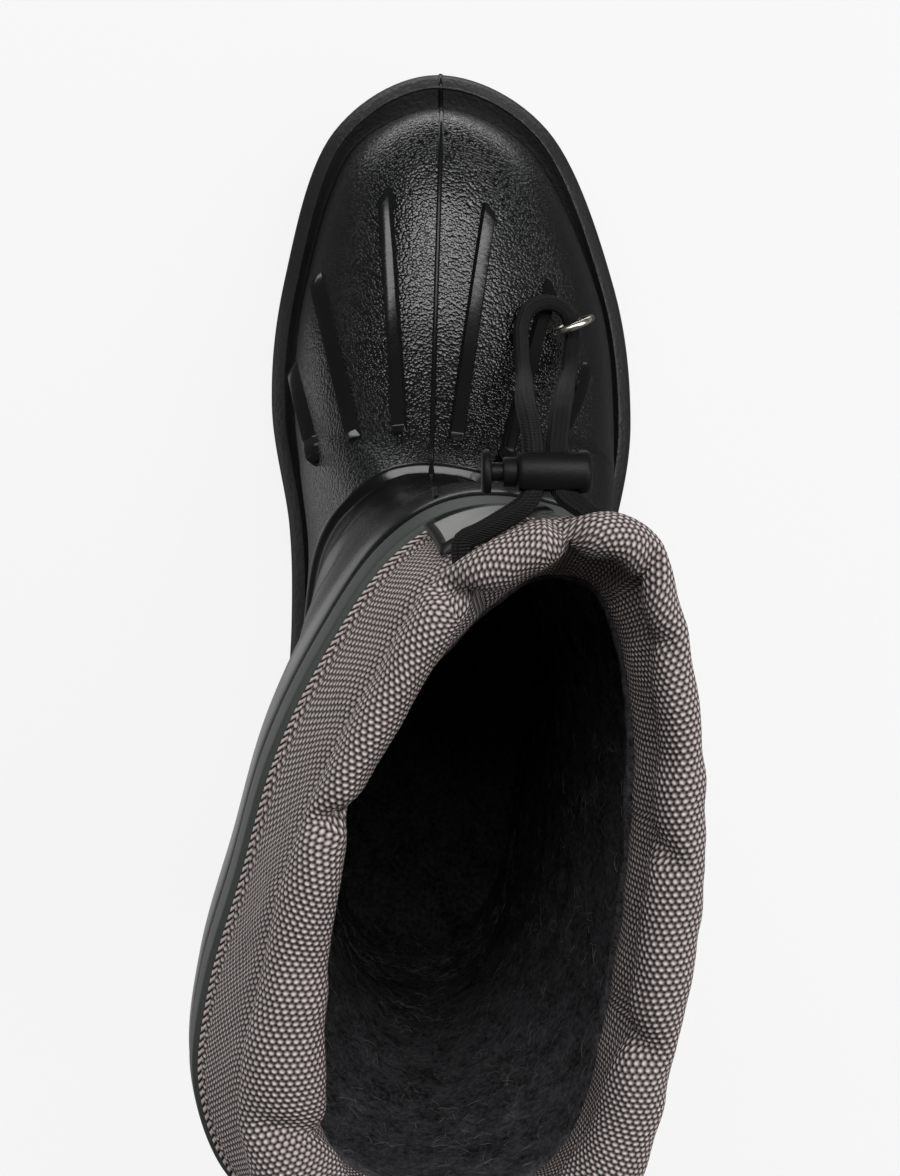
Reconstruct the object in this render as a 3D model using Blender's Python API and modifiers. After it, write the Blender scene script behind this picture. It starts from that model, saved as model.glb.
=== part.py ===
"""A child's right winter boot: moulded rubber foot and shaft on a lugged sole, with a woven drawcord cuff."""
import math

import bmesh
import bpy
import numpy as np
from mathutils import Matrix, Vector
from mathutils.bvhtree import BVHTree

# Driving sizes in millimetres: x points to the outer side, y from heel to toe, z up from the floor.
MM = 0.001
LENGTH = 222.0
RIM_Z = 195.0
ANKLE_Z = 104.0
CUFF_TOP_Z = 228.0
WALL = 2.6
GAP = 0.3
PROUD = 1.8
COLUMNS = 60
HALF = COLUMNS // 2
ORIGIN = np.array((0.6, 108.9, 0.0))

# Outer edge of the sole with the width of its ledge.
# Columns: medial x, medial y, medial ledge, lateral x, lateral y, lateral ledge.
SOLE_PLAN = (
    (-5.0, 0.0, 4.0, -5.0, 0.0, 4.0),
    (-27.0, 8.0, 4.0, 16.0, 7.5, 4.0),
    (-37.5, 31.0, 4.0, 27.5, 30.0, 3.5),
    (-38.0, 58.0, 4.0, 31.5, 57.0, 4.0),
    (-36.3, 88.0, 5.0, 38.0, 88.0, 4.0),
    (-36.8, 112.0, 6.0, 45.0, 112.0, 4.5),
    (-41.0, 142.0, 6.2, 48.6, 138.0, 5.4),
    (-37.5, 173.0, 5.8, 44.0, 171.0, 5.0),
    (-25.5, 208.0, 6.8, 27.5, 208.5, 7.0),
    (0.0, LENGTH, 8.9, 0.0, LENGTH, 8.9),
)
# Outlines of the upper at the ankle and at its rubber rim, and the crest line of the cuff's roll.
# Columns: medial x, medial y, lateral x, lateral y.
ANKLE_PLAN = (
    (-4.0, 5.0, -4.0, 5.0),
    (-20.0, 13.5, 12.0, 13.0),
    (-30.0, 33.0, 24.0, 31.0),
    (-33.0, 56.0, 29.5, 53.0),
    (-31.8, 79.0, 31.0, 76.0),
    (-28.5, 98.0, 28.8, 95.0),
    (-24.0, 113.0, 23.5, 110.0),
    (-17.5, 122.5, 15.5, 120.5),
    (-9.5, 127.5, 6.5, 126.5),
    (-2.0, 128.5, -2.0, 128.5),
)
RIM_PLAN = (
    (-2.0, -2.0, -2.0, -2.0),
    (-22.0, 1.0, 17.0, 1.0),
    (-38.5, 10.5, 31.0, 13.0),
    (-45.3, 28.0, 38.5, 35.0),
    (-43.5, 47.0, 41.5, 60.0),
    (-37.7, 67.0, 42.0, 83.0),
    (-31.5, 88.5, 40.0, 104.0),
    (-22.3, 107.5, 34.0, 120.0),
    (-10.6, 124.4, 21.0, 129.8),
    (3.0, 132.0, 3.0, 132.0),
)
ROLL_OUTER_PLAN = (
    (0.0, 2.4, 0.0, 2.4),
    (-18.0, 6.2, 19.0, 6.5),
    (-31.5, 17.5, 31.5, 20.5),
    (-35.6, 36.0, 37.1, 41.5),
    (-32.0, 55.5, 40.6, 61.0),
    (-27.3, 75.6, 41.9, 81.0),
    (-20.5, 92.0, 41.0, 99.5),
    (-12.5, 107.0, 37.6, 118.5),
    (-2.5, 123.5, 31.5, 132.0),
    (15.0, 132.8, 15.0, 132.8),
)
ROLL_INNER_PLAN = (
    (0.0, 13.6, 0.0, 13.6),
    (-11.0, 16.0, 12.0, 16.5),
    (-18.5, 24.0, 20.5, 25.5),
    (-21.2, 36.5, 26.6, 41.0),
    (-20.2, 54.5, 30.6, 60.5),
    (-18.2, 72.5, 32.6, 80.0),
    (-13.8, 89.0, 33.3, 98.0),
    (-6.3, 102.3, 31.6, 114.5),
    (2.6, 116.0, 26.5, 125.8),
    (14.5, 124.3, 14.5, 124.3),
)
FACING_PLAN = (
    (0.0, 11.5, 0.0, 11.5),
    (-13.0, 14.5, 13.0, 14.5),
    (-22.0, 22.0, 22.0, 24.0),
    (-27.0, 37.0, 26.6, 41.0),
    (-25.5, 54.0, 29.6, 60.5),
    (-22.0, 71.0, 31.2, 80.0),
    (-16.0, 87.0, 31.2, 98.0),
    (-8.0, 100.0, 28.4, 112.5),
    (2.0, 112.0, 23.0, 120.8),
    (13.0, 120.8, 13.0, 120.8),
)
# Heights along the boot. Columns: y, height.
LEDGE_Z = (
    (0.0, 27.0), (40.0, 26.0), (90.0, 23.0), (130.0, 20.5),
    (160.0, 21.0), (190.0, 24.0), (222.0, 29.0),
)
TREAD_Z = (
    (0.0, 1.5), (8.0, 0.0), (66.0, 0.0), (70.0, 3.5), (98.0, 4.0),
    (112.0, 0.0), (168.0, 0.0), (185.0, 1.5), (205.0, 5.0), (222.0, 9.5),
)
# Centre line over the vamp from the toe to the throat. Columns: y, z.
CREST = (
    (211.3, 27.6), (211.2, 37.0), (208.8, 45.0), (202.5, 51.5), (191.5, 57.0), (177.0, 61.5),
    (162.0, 67.0), (148.0, 74.5), (137.0, 83.0), (130.5, 92.0), (128.5, 104.0),
)
# Height that the centre line gains per millimetre behind the throat.
THROAT_RISE = 4.0
# Middle of the foot in plan. Columns: y, x.
MIDDLE = ((0.0, -4.0), (128.5, -2.0), (211.3, 0.0))
# Fullness of the foot's sections: a higher power is squarer.
ARCH_POWER = 2.5
# Height where the foot's sections start to turn into the shaft's.
BLEND_Z = 48.0
# Centre line of the back from the sole to the ankle. Columns: z, y.
BACK = ((27.0, 5.0), (45.0, 2.0), (65.0, 2.0), (85.0, 3.8), (104.0, 5.0))
# Top edge of the foot shell around the ankle. Columns: share from back to front, z.
STEP_LINE = ((0.0, 62.0), (0.33, 62.0), (0.5, 66.0), (0.67, 74.0), (0.83, 84.0), (1.0, 91.0))
# How far the shaft stands out from its plain outline. Columns: z, distance.
SHAFT_OUT = (
    (100.0, 0.0), (125.0, 0.2), (145.0, 1.2), (160.0, 2.4), (172.0, 2.8), (182.0, 1.9),
    (185.0, 0.2), (187.0, 1.4), (194.0, 0.4), (195.0, -0.3),
)
SHAFT_SHARES = (0.0, 0.08, 0.18, 0.3, 0.42, 0.54, 0.66, 0.78, 0.89, 1.0)
BAND_ROWS = (185.0, 187.0, 194.0, RIM_Z)
SHAFT_END_Z = 182.0
FOOT_ROWS = 13
# Concave foot of the shell where it meets the ledge. Columns: height above the ledge, distance.
FLARE = ((0.0, 1.5), (1.5, 0.7), (3.5, 0.2), (5.0, 0.0))
# Raised bars of the vamp and its mould seam, from the toe end to the heel end.
# Columns: toe x, toe y, heel x, heel y, width, height.
BARS = (
    (-12.2, 191.6, -8.9, 138.8, 3.2, 1.5),
    (11.5, 188.3, 3.5, 137.2, 3.2, 1.5),
    (-28.0, 172.6, -18.9, 137.3, 3.2, 1.5),
    (25.6, 170.8, 14.5, 133.4, 3.2, 1.5),
    (-33.6, 151.5, -27.6, 131.6, 3.2, 1.5),
    (34.2, 151.6, 24.8, 132.4, 3.2, 1.5),
    (0.6, 205.0, -2.2, 133.0, 1.3, 0.5),
)
BAR_ROOT = 1.2
BAR_FLAT = 0.8
BAR_TOE = 0.8
BAR_SLANT = 0.25
BAR_STATIONS = 8
BAR_CROWD = 1.3
ABOVE_ALL_Z = 300.0
# Side of the sole. Columns: share of the height, inset from the outer edge.
SOLE_SIDE = (
    (0.0, 4.2), (0.1, 2.4), (0.36, 1.8), (0.42, 3.0), (0.5, 3.0),
    (0.56, 0.4), (0.7, 0.0), (0.86, 0.8), (0.97, 2.6), (1.0, 3.4),
)
RIB_LEVELS = (1, 2)
RIB_DEPTH = 1.4
RIB_EVERY = 2
LUG_DEPTH = 4.5
LUG_TAPER = 0.9
LUGS_ACROSS = 5
LUG_CHEVRON = 5.0
CHEVRON_FADE = 8
HEEL_LUGS_END = 64.0
BALL_LUGS_START = 112.0
INSOLE_THICK = 4.0
INSOLE_CLEAR = 1.4
INSOLE_BEVEL = 0.6
INNER_EVERY = 3
# Cuff of woven cloth. Its hem sits in the rubber rim. Columns: inset from the rim, z.
HEM = ((3.4, 184.0), (3.4, RIM_Z + GAP), (1.7, 196.2), (2.0, 198.0), (2.8, 200.0))
HEM_INSIDE = ((5.8, RIM_Z), (5.8, 184.0))
FACING_Z = 205.0
# Seam between the cuff's face and its roll. Columns: share from back to front, medial inset, lateral inset.
SEAM_INSET = ((0.0, 1.0, 1.0), (0.2, -0.2, 1.2), (0.8, -0.2, 1.2), (1.0, 1.0, 1.0))
SEAM_Z = 213.0
ROLL_TALL = 5.6
ROLL_ANGLES = (-50.0, -10.0, 30.0, 70.0, 110.0, 150.0, 190.0, 230.0)
FOLD_WIDTH = 0.03
FOLD_DROP = 2.0
# Where the roll is pinched on its inner side. Columns: side (-1 medial), share from back to front, depth.
FOLDS = (
    (-1, 0.30, 0.25), (-1, 0.645, 0.4), (-1, 0.87, 0.45), (1, 0.98, 0.35),
    (1, 0.84, 0.45), (1, 0.74, 0.4), (1, 0.52, 0.35), (1, 0.345, 0.4),
)
# Badge plate on the front of the cuff. Its low and high edges run between columns counted from the front.
BADGE_LOW = (-1.75, 2.25)
BADGE_HIGH = (-3.0, 0.5)
BADGE_FACE = (0.05, 0.45, 0.85)
BADGE_STATIONS = 5
BADGE_THICK = 1.2
BADGE_LEAN = 2.6
# Drawcord from its medial exit under the roll, through the lock, round the loop and back. Columns: x, y, z.
CORD = 3.6
CORD_STEP = 4.0
ROUTE = (
    (2.0, 128.3, 215.4), (4.9, 129.9, 215.4), (8.4, 131.9, 215.2), (11.4, 133.8, 214.8), (12.6, 134.9, 214.5),
    (13.5, 136.4, 214.2), (13.8, 138.2, 213.8), (13.8, 143.2, 212.9), (13.4, 147.0, 210.6), (12.9, 150.0, 205.6),
    (13.0, 151.6, 198.0), (13.9, 152.0, 180.0), (15.3, 152.0, 150.0), (17.0, 151.8, 115.0), (18.0, 151.8, 96.0),
    (18.3, 152.6, 84.0), (18.4, 154.8, 75.4), (18.5, 158.2, 69.8), (18.6, 161.6, 67.0), (20.3, 165.8, 64.6),
    (24.5, 167.6, 62.8), (28.7, 165.9, 61.8), (30.5, 161.9, 61.3), (30.6, 158.4, 61.9), (30.0, 155.2, 65.2),
    (29.3, 152.8, 72.0), (28.6, 151.8, 82.0), (27.0, 151.4, 98.0), (25.6, 151.5, 118.0), (23.2, 151.6, 150.0),
    (21.0, 151.8, 180.0), (19.6, 151.4, 198.0), (18.7, 149.9, 205.6), (18.0, 147.0, 210.6), (17.5, 143.2, 212.9),
    (17.4, 140.4, 213.4), (17.8, 138.0, 213.8), (18.8, 136.1, 214.2), (20.4, 134.8, 214.8), (21.6, 134.1, 215.3),
)
# Cord lock: a barrel along x that both strands cross from toe to heel, with a spring button in its collar.
LOCK_PLACE = (0.0, 139.8, 213.5)
# Columns: x along the axis, radius.
BARREL = (
    (23.4, 0.0), (23.4, 2.9), (22.8, 3.4), (11.4, 3.4), (10.9, 2.9), (10.9, 2.5),
    (8.6, 2.5), (8.6, 1.9), (10.6, 1.9), (10.6, 0.0),
)
BUTTON = ((8.7, 0.0), (8.7, 1.6), (6.8, 1.6), (6.8, 3.5), (6.4, 3.8), (5.5, 3.8), (5.1, 3.3), (5.1, 0.0))
SLOT_X = (11.4, 21.2)
SLOT_WIDTH = 4.8
SLOT_TALL = 12.0
SLOT_TILT = 80.0
# Oval metal ring round the loop.
RING_PLACE = (30.9, 162.4, 62.2)
RING_LONG = (0.87, 0.37, -0.33)
RING_SHORT = (0.33, 0.07, 0.94)
RING_HALF = (4.35, 3.6)
RING_WIRE = 1.7
RING_POINTS = 16


def smooth(value, low, high):
    """Ease from 0 at low to 1 at high."""
    t = np.clip((np.asarray(value, float) - low) / (high - low), 0.0, 1.0)
    return t * t * (3.0 - 2.0 * t)


def from_table(value, table):
    """Read a table of two columns at a value."""
    rows = np.array(table)
    return np.interp(value, rows[:, 0], rows[:, 1])


def closed_curve(points, count):
    """Smooth closed curve through the points, at even shares."""
    p = np.array(points, float)
    u = np.arange(count) * len(p) / count
    i = u.astype(int)
    f = (u - i)[:, None]
    a, b, c, d = (p[(i + k) % len(p)] for k in (-1, 0, 1, 2))
    bend = (2.0 * a - 5.0 * b + 4.0 * c - d) * f**2 + (3.0 * b - a - 3.0 * c + d) * f**3
    return b + 0.5 * ((c - a) * f + bend)


def open_curve(points, per_span):
    """Smooth open curve through the points."""
    p = np.array(points, float)
    p = np.vstack((2.0 * p[0] - p[1], p, 2.0 * p[-1] - p[-2]))
    out = []
    for a, b, c, d in zip(p, p[1:], p[2:], p[3:]):
        for f in np.arange(per_span) / per_span:
            bend = (2.0 * a - 5.0 * b + 4.0 * c - d) * f**2 + (3.0 * b - a - 3.0 * c + d) * f**3
            out.append(b + 0.5 * ((c - a) * f + bend))
    out.append(p[-2])
    return np.array(out)


def plan_loop(table, medial, lateral):
    """Closed loop from the back over the medial side to the front and back over the lateral side."""
    there = [[row[k] for k in medial] for row in table]
    back = [[row[k] for k in lateral] for row in table[-2:0:-1]]
    return closed_curve(there + back, COLUMNS)


def outward(loop):
    """Unit normals of a loop in plan, away from its inside."""
    along = np.roll(loop, -1, axis=0) - np.roll(loop, 1, axis=0)
    normal = np.stack((-along[:, 1], along[:, 0]), axis=1)
    return normal / np.linalg.norm(normal, axis=1)[:, None]


def inset(loop, distance):
    """Move a loop inwards in plan."""
    return loop - outward(loop) * np.reshape(distance, (-1, 1))


def raised(loop, z):
    """Give a plan loop its heights."""
    return np.column_stack((loop, np.broadcast_to(z, len(loop))))


SHARE = np.array([j / HALF if j <= HALF else (COLUMNS - j) / HALF for j in range(COLUMNS)])
SIDE = np.array([-1 if j <= HALF else 1 for j in range(COLUMNS)])
SOLE_LOOP = plan_loop(SOLE_PLAN, (0, 1), (3, 4))
LEDGE = plan_loop(SOLE_PLAN, (2, 2), (5, 5))[:, 0]
FEATHER = inset(SOLE_LOOP, LEDGE + PROUD)
ANKLE = plan_loop(ANKLE_PLAN, (0, 1), (2, 3))
RIM = plan_loop(RIM_PLAN, (0, 1), (2, 3))
ROLL_OUTER = plan_loop(ROLL_OUTER_PLAN, (0, 1), (2, 3))
ROLL_INNER = plan_loop(ROLL_INNER_PLAN, (0, 1), (2, 3))
FACING = plan_loop(FACING_PLAN, (0, 1), (2, 3))
CREST_LINE = open_curve(CREST, 8)
STEP_Z = from_table(SHARE, STEP_LINE)
FEATHER_Z = from_table(FEATHER[:, 1], LEDGE_Z) + GAP


def front_y(z):
    """Reach of the vamp at a height."""
    return np.interp(z, CREST_LINE[:, 1], CREST_LINE[:, 0])


def vamp_z(y):
    """Height of the vamp's centre line, rising steeply behind the throat."""
    top = np.interp(y, CREST_LINE[::-1, 0], CREST_LINE[::-1, 1])
    return top + np.maximum(CREST[-1][0] - y, 0.0) * THROAT_RISE


def foot_section(z):
    """Outline of the foot at one height per column: the plan narrowed by the arch of each station."""
    heel, toe = FEATHER[0, 1], FEATHER[HALF, 1]
    back, front = from_table(z, BACK), front_y(z)
    station = (FEATHER[:, 1] - heel) / (toe - heel)
    y = back + station * (front - back)
    plan_y = heel + station * (front - heel)
    medial = np.interp(plan_y, FEATHER[: HALF + 1, 1], FEATHER[: HALF + 1, 0])
    lateral_columns = np.r_[0, np.arange(COLUMNS - 1, HALF - 1, -1)]
    lateral = np.interp(plan_y, FEATHER[lateral_columns, 1], FEATHER[lateral_columns, 0])
    plan_x = np.where(SIDE < 0, medial, lateral)
    middle = from_table(y, MIDDLE)
    base = from_table(y, LEDGE_Z)
    rise = np.clip((z - base) / (vamp_z(y) - base), 0.0, 1.0)
    arch = np.sqrt(1.0 - rise**ARCH_POWER)
    end = (SHARE == 0.0) | (SHARE == 1.0)
    return np.column_stack((np.where(end, middle, middle + (plan_x - middle) * arch), y))


def shaft_section(z):
    """Outline of the shaft at one height per column, stretched to the vamp below the ankle."""
    up = smooth(z, ANKLE_Z, SHAFT_END_Z)[:, None]
    plan = ANKLE * (1.0 - up) + RIM * up
    low = np.minimum(z, ANKLE_Z)
    back = from_table(low, BACK)
    first, last = ANKLE[0, 1], ANKLE[HALF, 1]
    stretched = back + (ANKLE[:, 1] - first) / (last - first) * (front_y(low) - back)
    return np.column_stack((plan[:, 0], np.where(z < ANKLE_Z, stretched, plan[:, 1])))


def upper_rows():
    """Rows of the upper's plain surface, with how far each stands out."""
    run = np.linalg.norm(np.diff(CREST_LINE, axis=0), axis=1).cumsum()
    run = np.r_[0.0, run]
    end = np.interp(STEP_Z[HALF], CREST_LINE[:, 1], run)
    levels = np.interp(np.linspace(0.0, end, FOOT_ROWS), run, CREST_LINE[:, 1])
    shares = (levels - levels[0]) / (levels[-1] - levels[0])
    heights = [FEATHER_Z + rise for rise, _ in FLARE]
    out = [np.full(COLUMNS, PROUD + flare) for _, flare in FLARE]
    for share in shares[1:]:
        heights.append(FEATHER_Z + FLARE[-1][0] + (STEP_Z - FEATHER_Z - FLARE[-1][0]) * share)
        out.append(np.full(COLUMNS, PROUD))
    shaft_start = len(heights)
    above = STEP_Z + PROUD
    for share in SHAFT_SHARES:
        heights.append(above + (SHAFT_END_Z - above) * share)
    heights += [np.full(COLUMNS, z) for z in BAND_ROWS]
    out += [from_table(z, SHAFT_OUT) for z in heights[shaft_start:]]
    rows = []
    for z in heights:
        blend = smooth(z, BLEND_Z, ANKLE_Z)[:, None]
        rows.append(np.column_stack((foot_section(z) * (1.0 - blend) + shaft_section(z) * blend, z)))
    return np.array(rows), np.array(out)


def surface_normals(rows):
    """Outward normals of a grid of rows."""
    along = np.roll(rows, -1, axis=1) - np.roll(rows, 1, axis=1)
    up = np.gradient(rows, axis=0)
    normal = np.cross(up, along)
    return normal / np.maximum(np.linalg.norm(normal, axis=2), 1e-9)[..., None]


def upper_skins():
    """Outer and inner surface of the upper, level at the sole and at the rim."""
    rows, out = upper_rows()
    normal = surface_normals(rows)
    outer = rows + normal * out[..., None]
    inner = rows - normal * WALL
    for skin in (outer, inner):
        skin[0, :, 2] = from_table(skin[0, :, 1], LEDGE_Z) + GAP
        skin[-1, :, 2] = RIM_Z
    return outer, inner


OUTER, INNER = upper_skins()


def make_object(name, bm, collection, material):
    """Turn millimetres about the origin into a named object in metres."""
    for v in bm.verts:
        v.co = Vector((np.array(v.co) - ORIGIN) * MM)
    bmesh.ops.recalc_face_normals(bm, faces=bm.faces[:])
    mesh = bpy.data.meshes.new(name)
    bm.to_mesh(mesh)
    bm.free()
    mesh.shade_smooth()
    mesh.set_sharp_from_angle(angle=math.radians(35.0))
    mesh.materials.append(material)
    obj = bpy.data.objects.new(name, mesh)
    collection.objects.link(obj)
    return obj


def make_material(name, colour, roughness, metallic=0.0):
    """Principled material with the piece's colour and gloss."""
    material = bpy.data.materials.new(name)
    material.use_nodes = True
    shader = material.node_tree.nodes["Principled BSDF"]
    shader.inputs["Base Color"].default_value = (*colour, 1.0)
    shader.inputs["Roughness"].default_value = roughness
    shader.inputs["Metallic"].default_value = metallic
    return material


def add_ring(bm, points):
    """New vertices for one section."""
    return [bm.verts.new(p) for p in points]


def bridge(bm, low, high):
    """Quads between two closed sections of the same count."""
    for j in range(len(low)):
        k = (j + 1) % len(low)
        bm.faces.new((low[j], low[k], high[k], high[j]))


def close_across(bm, ring, across, chevron=0.0):
    """Close a section with rungs from the medial to the lateral side, and return its cells."""
    half = len(ring) // 2
    rungs = []
    for j in range(1, half):
        a, b = ring[j], ring[-j]
        middle = []
        for k in range(1, across):
            share = k / across
            fade = min(1.0, (half - j) / CHEVRON_FADE, j / CHEVRON_FADE)
            lead = Vector((0.0, chevron * fade * (1.0 - abs(2.0 * share - 1.0)), 0.0))
            middle.append(bm.verts.new(a.co.lerp(b.co, share) + lead))
        rungs.append([a, *middle, b])
    cells = []
    for i, (low, high) in enumerate(zip(rungs, rungs[1:])):
        for k in range(across):
            cells.append((i, k, bm.faces.new((low[k], low[k + 1], high[k + 1], high[k]))))
    bm.faces.new((ring[0], *rungs[0]))
    bm.faces.new((ring[half], *reversed(rungs[-1])))
    return cells


def closed_sweep(bm, sections):
    """Ring-shaped body through sections that come back to the first one."""
    rings = [add_ring(bm, points) for points in sections]
    for low, high in zip(rings, rings[1:] + rings[:1]):
        bridge(bm, low, high)


def outsole(collection, material):
    """Lugged sole: ledge, grooved and ribbed side, arch, toe spring and chevron lugs."""
    bm = bmesh.new()
    y = SOLE_LOOP[:, 1]
    top = from_table(y, LEDGE_Z)
    floor = from_table(y, TREAD_Z) + LUG_DEPTH
    lugged = (y < HEEL_LUGS_END) | (y > BALL_LUGS_START)
    rib = (np.arange(COLUMNS) % RIB_EVERY == 0) & lugged
    rings = []
    for level, (share, depth) in enumerate(SOLE_SIDE):
        cut = depth + RIB_DEPTH * rib * (level in RIB_LEVELS)
        rings.append(add_ring(bm, raised(inset(SOLE_LOOP, cut), floor + (top - floor) * share)))
    for depth in (LEDGE - FLARE[0][1], LEDGE + PROUD + WALL + INSOLE_CLEAR):
        seat = inset(SOLE_LOOP, depth)
        rings.append(add_ring(bm, raised(seat, from_table(seat[:, 1], LEDGE_Z))))
    for low, high in zip(rings, rings[1:]):
        bridge(bm, low, high)
    close_across(bm, rings[-1], 1)
    cells = close_across(bm, rings[0], LUGS_ACROSS, LUG_CHEVRON)
    lugs = []
    for i, k, face in cells:
        place = face.calc_center_median().y
        if (i + k) % 2 == 0 and (place < HEEL_LUGS_END or place > BALL_LUGS_START):
            lugs.append(face)
    bm.normal_update()
    bmesh.ops.inset_individual(bm, faces=lugs, thickness=LUG_TAPER)
    for face in lugs:
        for v in face.verts:
            v.co.z = float(from_table(v.co.y, TREAD_Z))
    return make_object("outsole", bm, collection, material)


def bars_cutter(collection, material):
    """Bars of the vamp, standing on the shell's own surface and rooted in its wall."""
    count = FOOT_ROWS + len(FLARE) + 3
    points = [Vector(p) for p in OUTER[:count].reshape(-1, 3)]
    faces = []
    for r in range(count - 1):
        for j in range(COLUMNS):
            k = (j + 1) % COLUMNS
            low, high = r * COLUMNS, (r + 1) * COLUMNS
            faces.append((low + j, low + k, high + k, high + j))
    shell = BVHTree.FromPolygons(points, faces)
    bm = bmesh.new()
    for toe_x, toe_y, heel_x, heel_y, width, height in BARS:
        start, finish = Vector((toe_x, toe_y, ABOVE_ALL_Z)), Vector((heel_x, heel_y, ABOVE_ALL_Z))
        shares = [(k / (BAR_STATIONS - 1)) ** BAR_CROWD for k in range(BAR_STATIONS)]
        hits = [shell.ray_cast(start.lerp(finish, share), Vector((0.0, 0.0, -1.0)))[:2] for share in shares]
        along = (hits[-1][0] - hits[0][0]).normalized()
        rings = []
        for k, (spot, normal) in enumerate(hits):
            up = normal if normal.z > 0.0 else -normal
            across = up.cross(along).normalized() * width / 2.0
            tall = up * (height if k else height * BAR_TOE)
            root = up * BAR_ROOT
            flat = across * BAR_FLAT
            slant = along * (width * BAR_SLANT * math.copysign(1.0, across.x * spot.x)) * (k < 2)
            left, right = spot + slant, spot - slant
            foot = (left + across - root, right - across - root)
            rings.append(add_ring(bm, (*foot, right - flat + tall, left + flat + tall)))
        for low, high in zip(rings, rings[1:]):
            bridge(bm, low, high)
        bm.faces.new(rings[0])
        bm.faces.new(reversed(rings[-1]))
    cutter = make_object("upper_bars", bm, collection, material)
    cutter.hide_render = True
    cutter.display_type = "WIRE"
    return cutter


def upper(collection, cutters, material):
    """Moulded rubber foot and shaft in one hollow wall, with the ankle step, the rim band and the bars."""
    bm = bmesh.new()
    keep = [0, *range(len(FLARE), len(INNER) - 2, INNER_EVERY), len(INNER) - 1]
    closed_sweep(bm, [*OUTER, *INNER[keep][::-1]])
    obj = make_object("upper", bm, collection, material)
    joined = obj.modifiers.new("bars", "BOOLEAN")
    joined.operation = "UNION"
    joined.solver = "EXACT"
    joined.object = bars_cutter(cutters, material)
    return obj


def insole(collection, material):
    """Felt insole lying on the sole inside the upper."""
    loop = inset(SOLE_LOOP, LEDGE + PROUD + WALL + INSOLE_CLEAR)
    base = from_table(loop[:, 1], LEDGE_Z) + GAP
    bm = bmesh.new()
    low = add_ring(bm, raised(loop, base))
    high = add_ring(bm, raised(inset(loop, INSOLE_BEVEL), base + INSOLE_THICK))
    bridge(bm, low, high)
    close_across(bm, low, 1)
    close_across(bm, high, 1)
    return make_object("insole", bm, collection, material)


def fold_depth():
    """How far the roll is pinched at each column."""
    depth = np.zeros(COLUMNS)
    for side, share, amount in FOLDS:
        near = np.exp(-(((SHARE - share) / FOLD_WIDTH) ** 2)) * amount
        depth = np.maximum(depth, np.where(SIDE == side, near, 0.0))
    return depth


def cuff_face():
    """Lower and upper edge of the cuff's outer face: the hem and the seam below the roll."""
    depth, z = HEM[-1]
    shares, medial, lateral = np.array(SEAM_INSET).T
    depth_in = np.where(SIDE < 0, np.interp(SHARE, shares, medial), np.interp(SHARE, shares, lateral))
    return raised(inset(RIM, depth), z), raised(inset(ROLL_OUTER, depth_in), SEAM_Z)


def cuff(collection, material):
    """Woven cuff: hem tucked into the rim, bead, leaning face, puffy roll and inner facing."""
    low, high = cuff_face()
    sections = [raised(inset(RIM, depth), z) for depth, z in HEM]
    sections += [(low + high) / 2.0, high]
    pinch = fold_depth()
    middle, half = (ROLL_OUTER + ROLL_INNER) / 2.0, (ROLL_OUTER - ROLL_INNER) / 2.0
    for angle in ROLL_ANGLES:
        turn = math.radians(angle)
        near = smooth(angle, ROLL_ANGLES[1], ROLL_ANGLES[4]) * pinch
        spot = middle + half * (math.cos(turn) * (1.0 - near))[:, None]
        top = CUFF_TOP_Z - ROLL_TALL - FOLD_DROP * near
        sections.append(raised(spot, top + ROLL_TALL * (1.0 - near) * math.sin(turn)))
    sections.append(raised(FACING, FACING_Z))
    sections += [raised(inset(RIM, depth), z) for depth, z in HEM_INSIDE]
    bm = bmesh.new()
    closed_sweep(bm, sections)
    return make_object("cuff", bm, collection, material)


def at_columns(loop, places):
    """Points of a loop at places between its columns."""
    return np.column_stack([np.interp(places, np.arange(COLUMNS), axis) for axis in loop.T])


def badge(collection, material):
    """Bare rubber plate on the front of the cuff, leaning out at its low edge."""
    face = cuff_face()
    shares = np.linspace(0.0, 1.0, BADGE_STATIONS)
    out = np.column_stack((outward(ROLL_OUTER), np.zeros(COLUMNS)))
    rows, away, lean = [], [], []
    for v in BADGE_FACE:
        first, last = np.array((BADGE_LOW, BADGE_HIGH)).T @ (1.0 - v, v)
        places = HALF + first + (last - first) * shares
        low, high = (at_columns(edge, places) for edge in face)
        rows.append(low * (1.0 - v) + high * v)
        away.append(at_columns(out, places))
        lean.append(BADGE_LEAN * (1.0 - v))
    bm = bmesh.new()
    skins = []
    for lift in (GAP, GAP + BADGE_THICK):
        lifted = [row + way * (lift + more) for row, way, more in zip(rows, away, lean)]
        skins.append([add_ring(bm, row) for row in lifted])
    for skin in skins:
        for a, b in zip(skin, skin[1:]):
            for k in range(BADGE_STATIONS - 1):
                bm.faces.new((a[k], a[k + 1], b[k + 1], b[k]))
    edges = []
    for low_row, middle_row, high_row in skins:
        edges.append([*low_row, middle_row[-1], *reversed(high_row), middle_row[0]])
    bridge(bm, *edges)
    return make_object("badge", bm, collection, material)


def even_points(line, step):
    """Points along a line at even distances near the step, ends included."""
    run = np.r_[0.0, np.linalg.norm(np.diff(line, axis=0), axis=1).cumsum()]
    at = np.linspace(0.0, run[-1], round(run[-1] / step) + 1)
    return np.column_stack([np.interp(at, run, line[:, k]) for k in range(3)])


def tube(name, line, diameter, closed, collection, material):
    """Round tube along a line."""
    curve = bpy.data.curves.new(name, "CURVE")
    curve.dimensions = "3D"
    curve.bevel_depth = diameter / 2.0 * MM
    curve.bevel_resolution = 2
    curve.use_fill_caps = True
    spline = curve.splines.new("POLY")
    spline.points.add(len(line) - 1)
    for point, place in zip(spline.points, (np.array(line) - ORIGIN) * MM):
        point.co = (*place, 1.0)
    spline.use_cyclic_u = closed
    curve.materials.append(material)
    obj = bpy.data.objects.new(name, curve)
    collection.objects.link(obj)
    return obj


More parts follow.
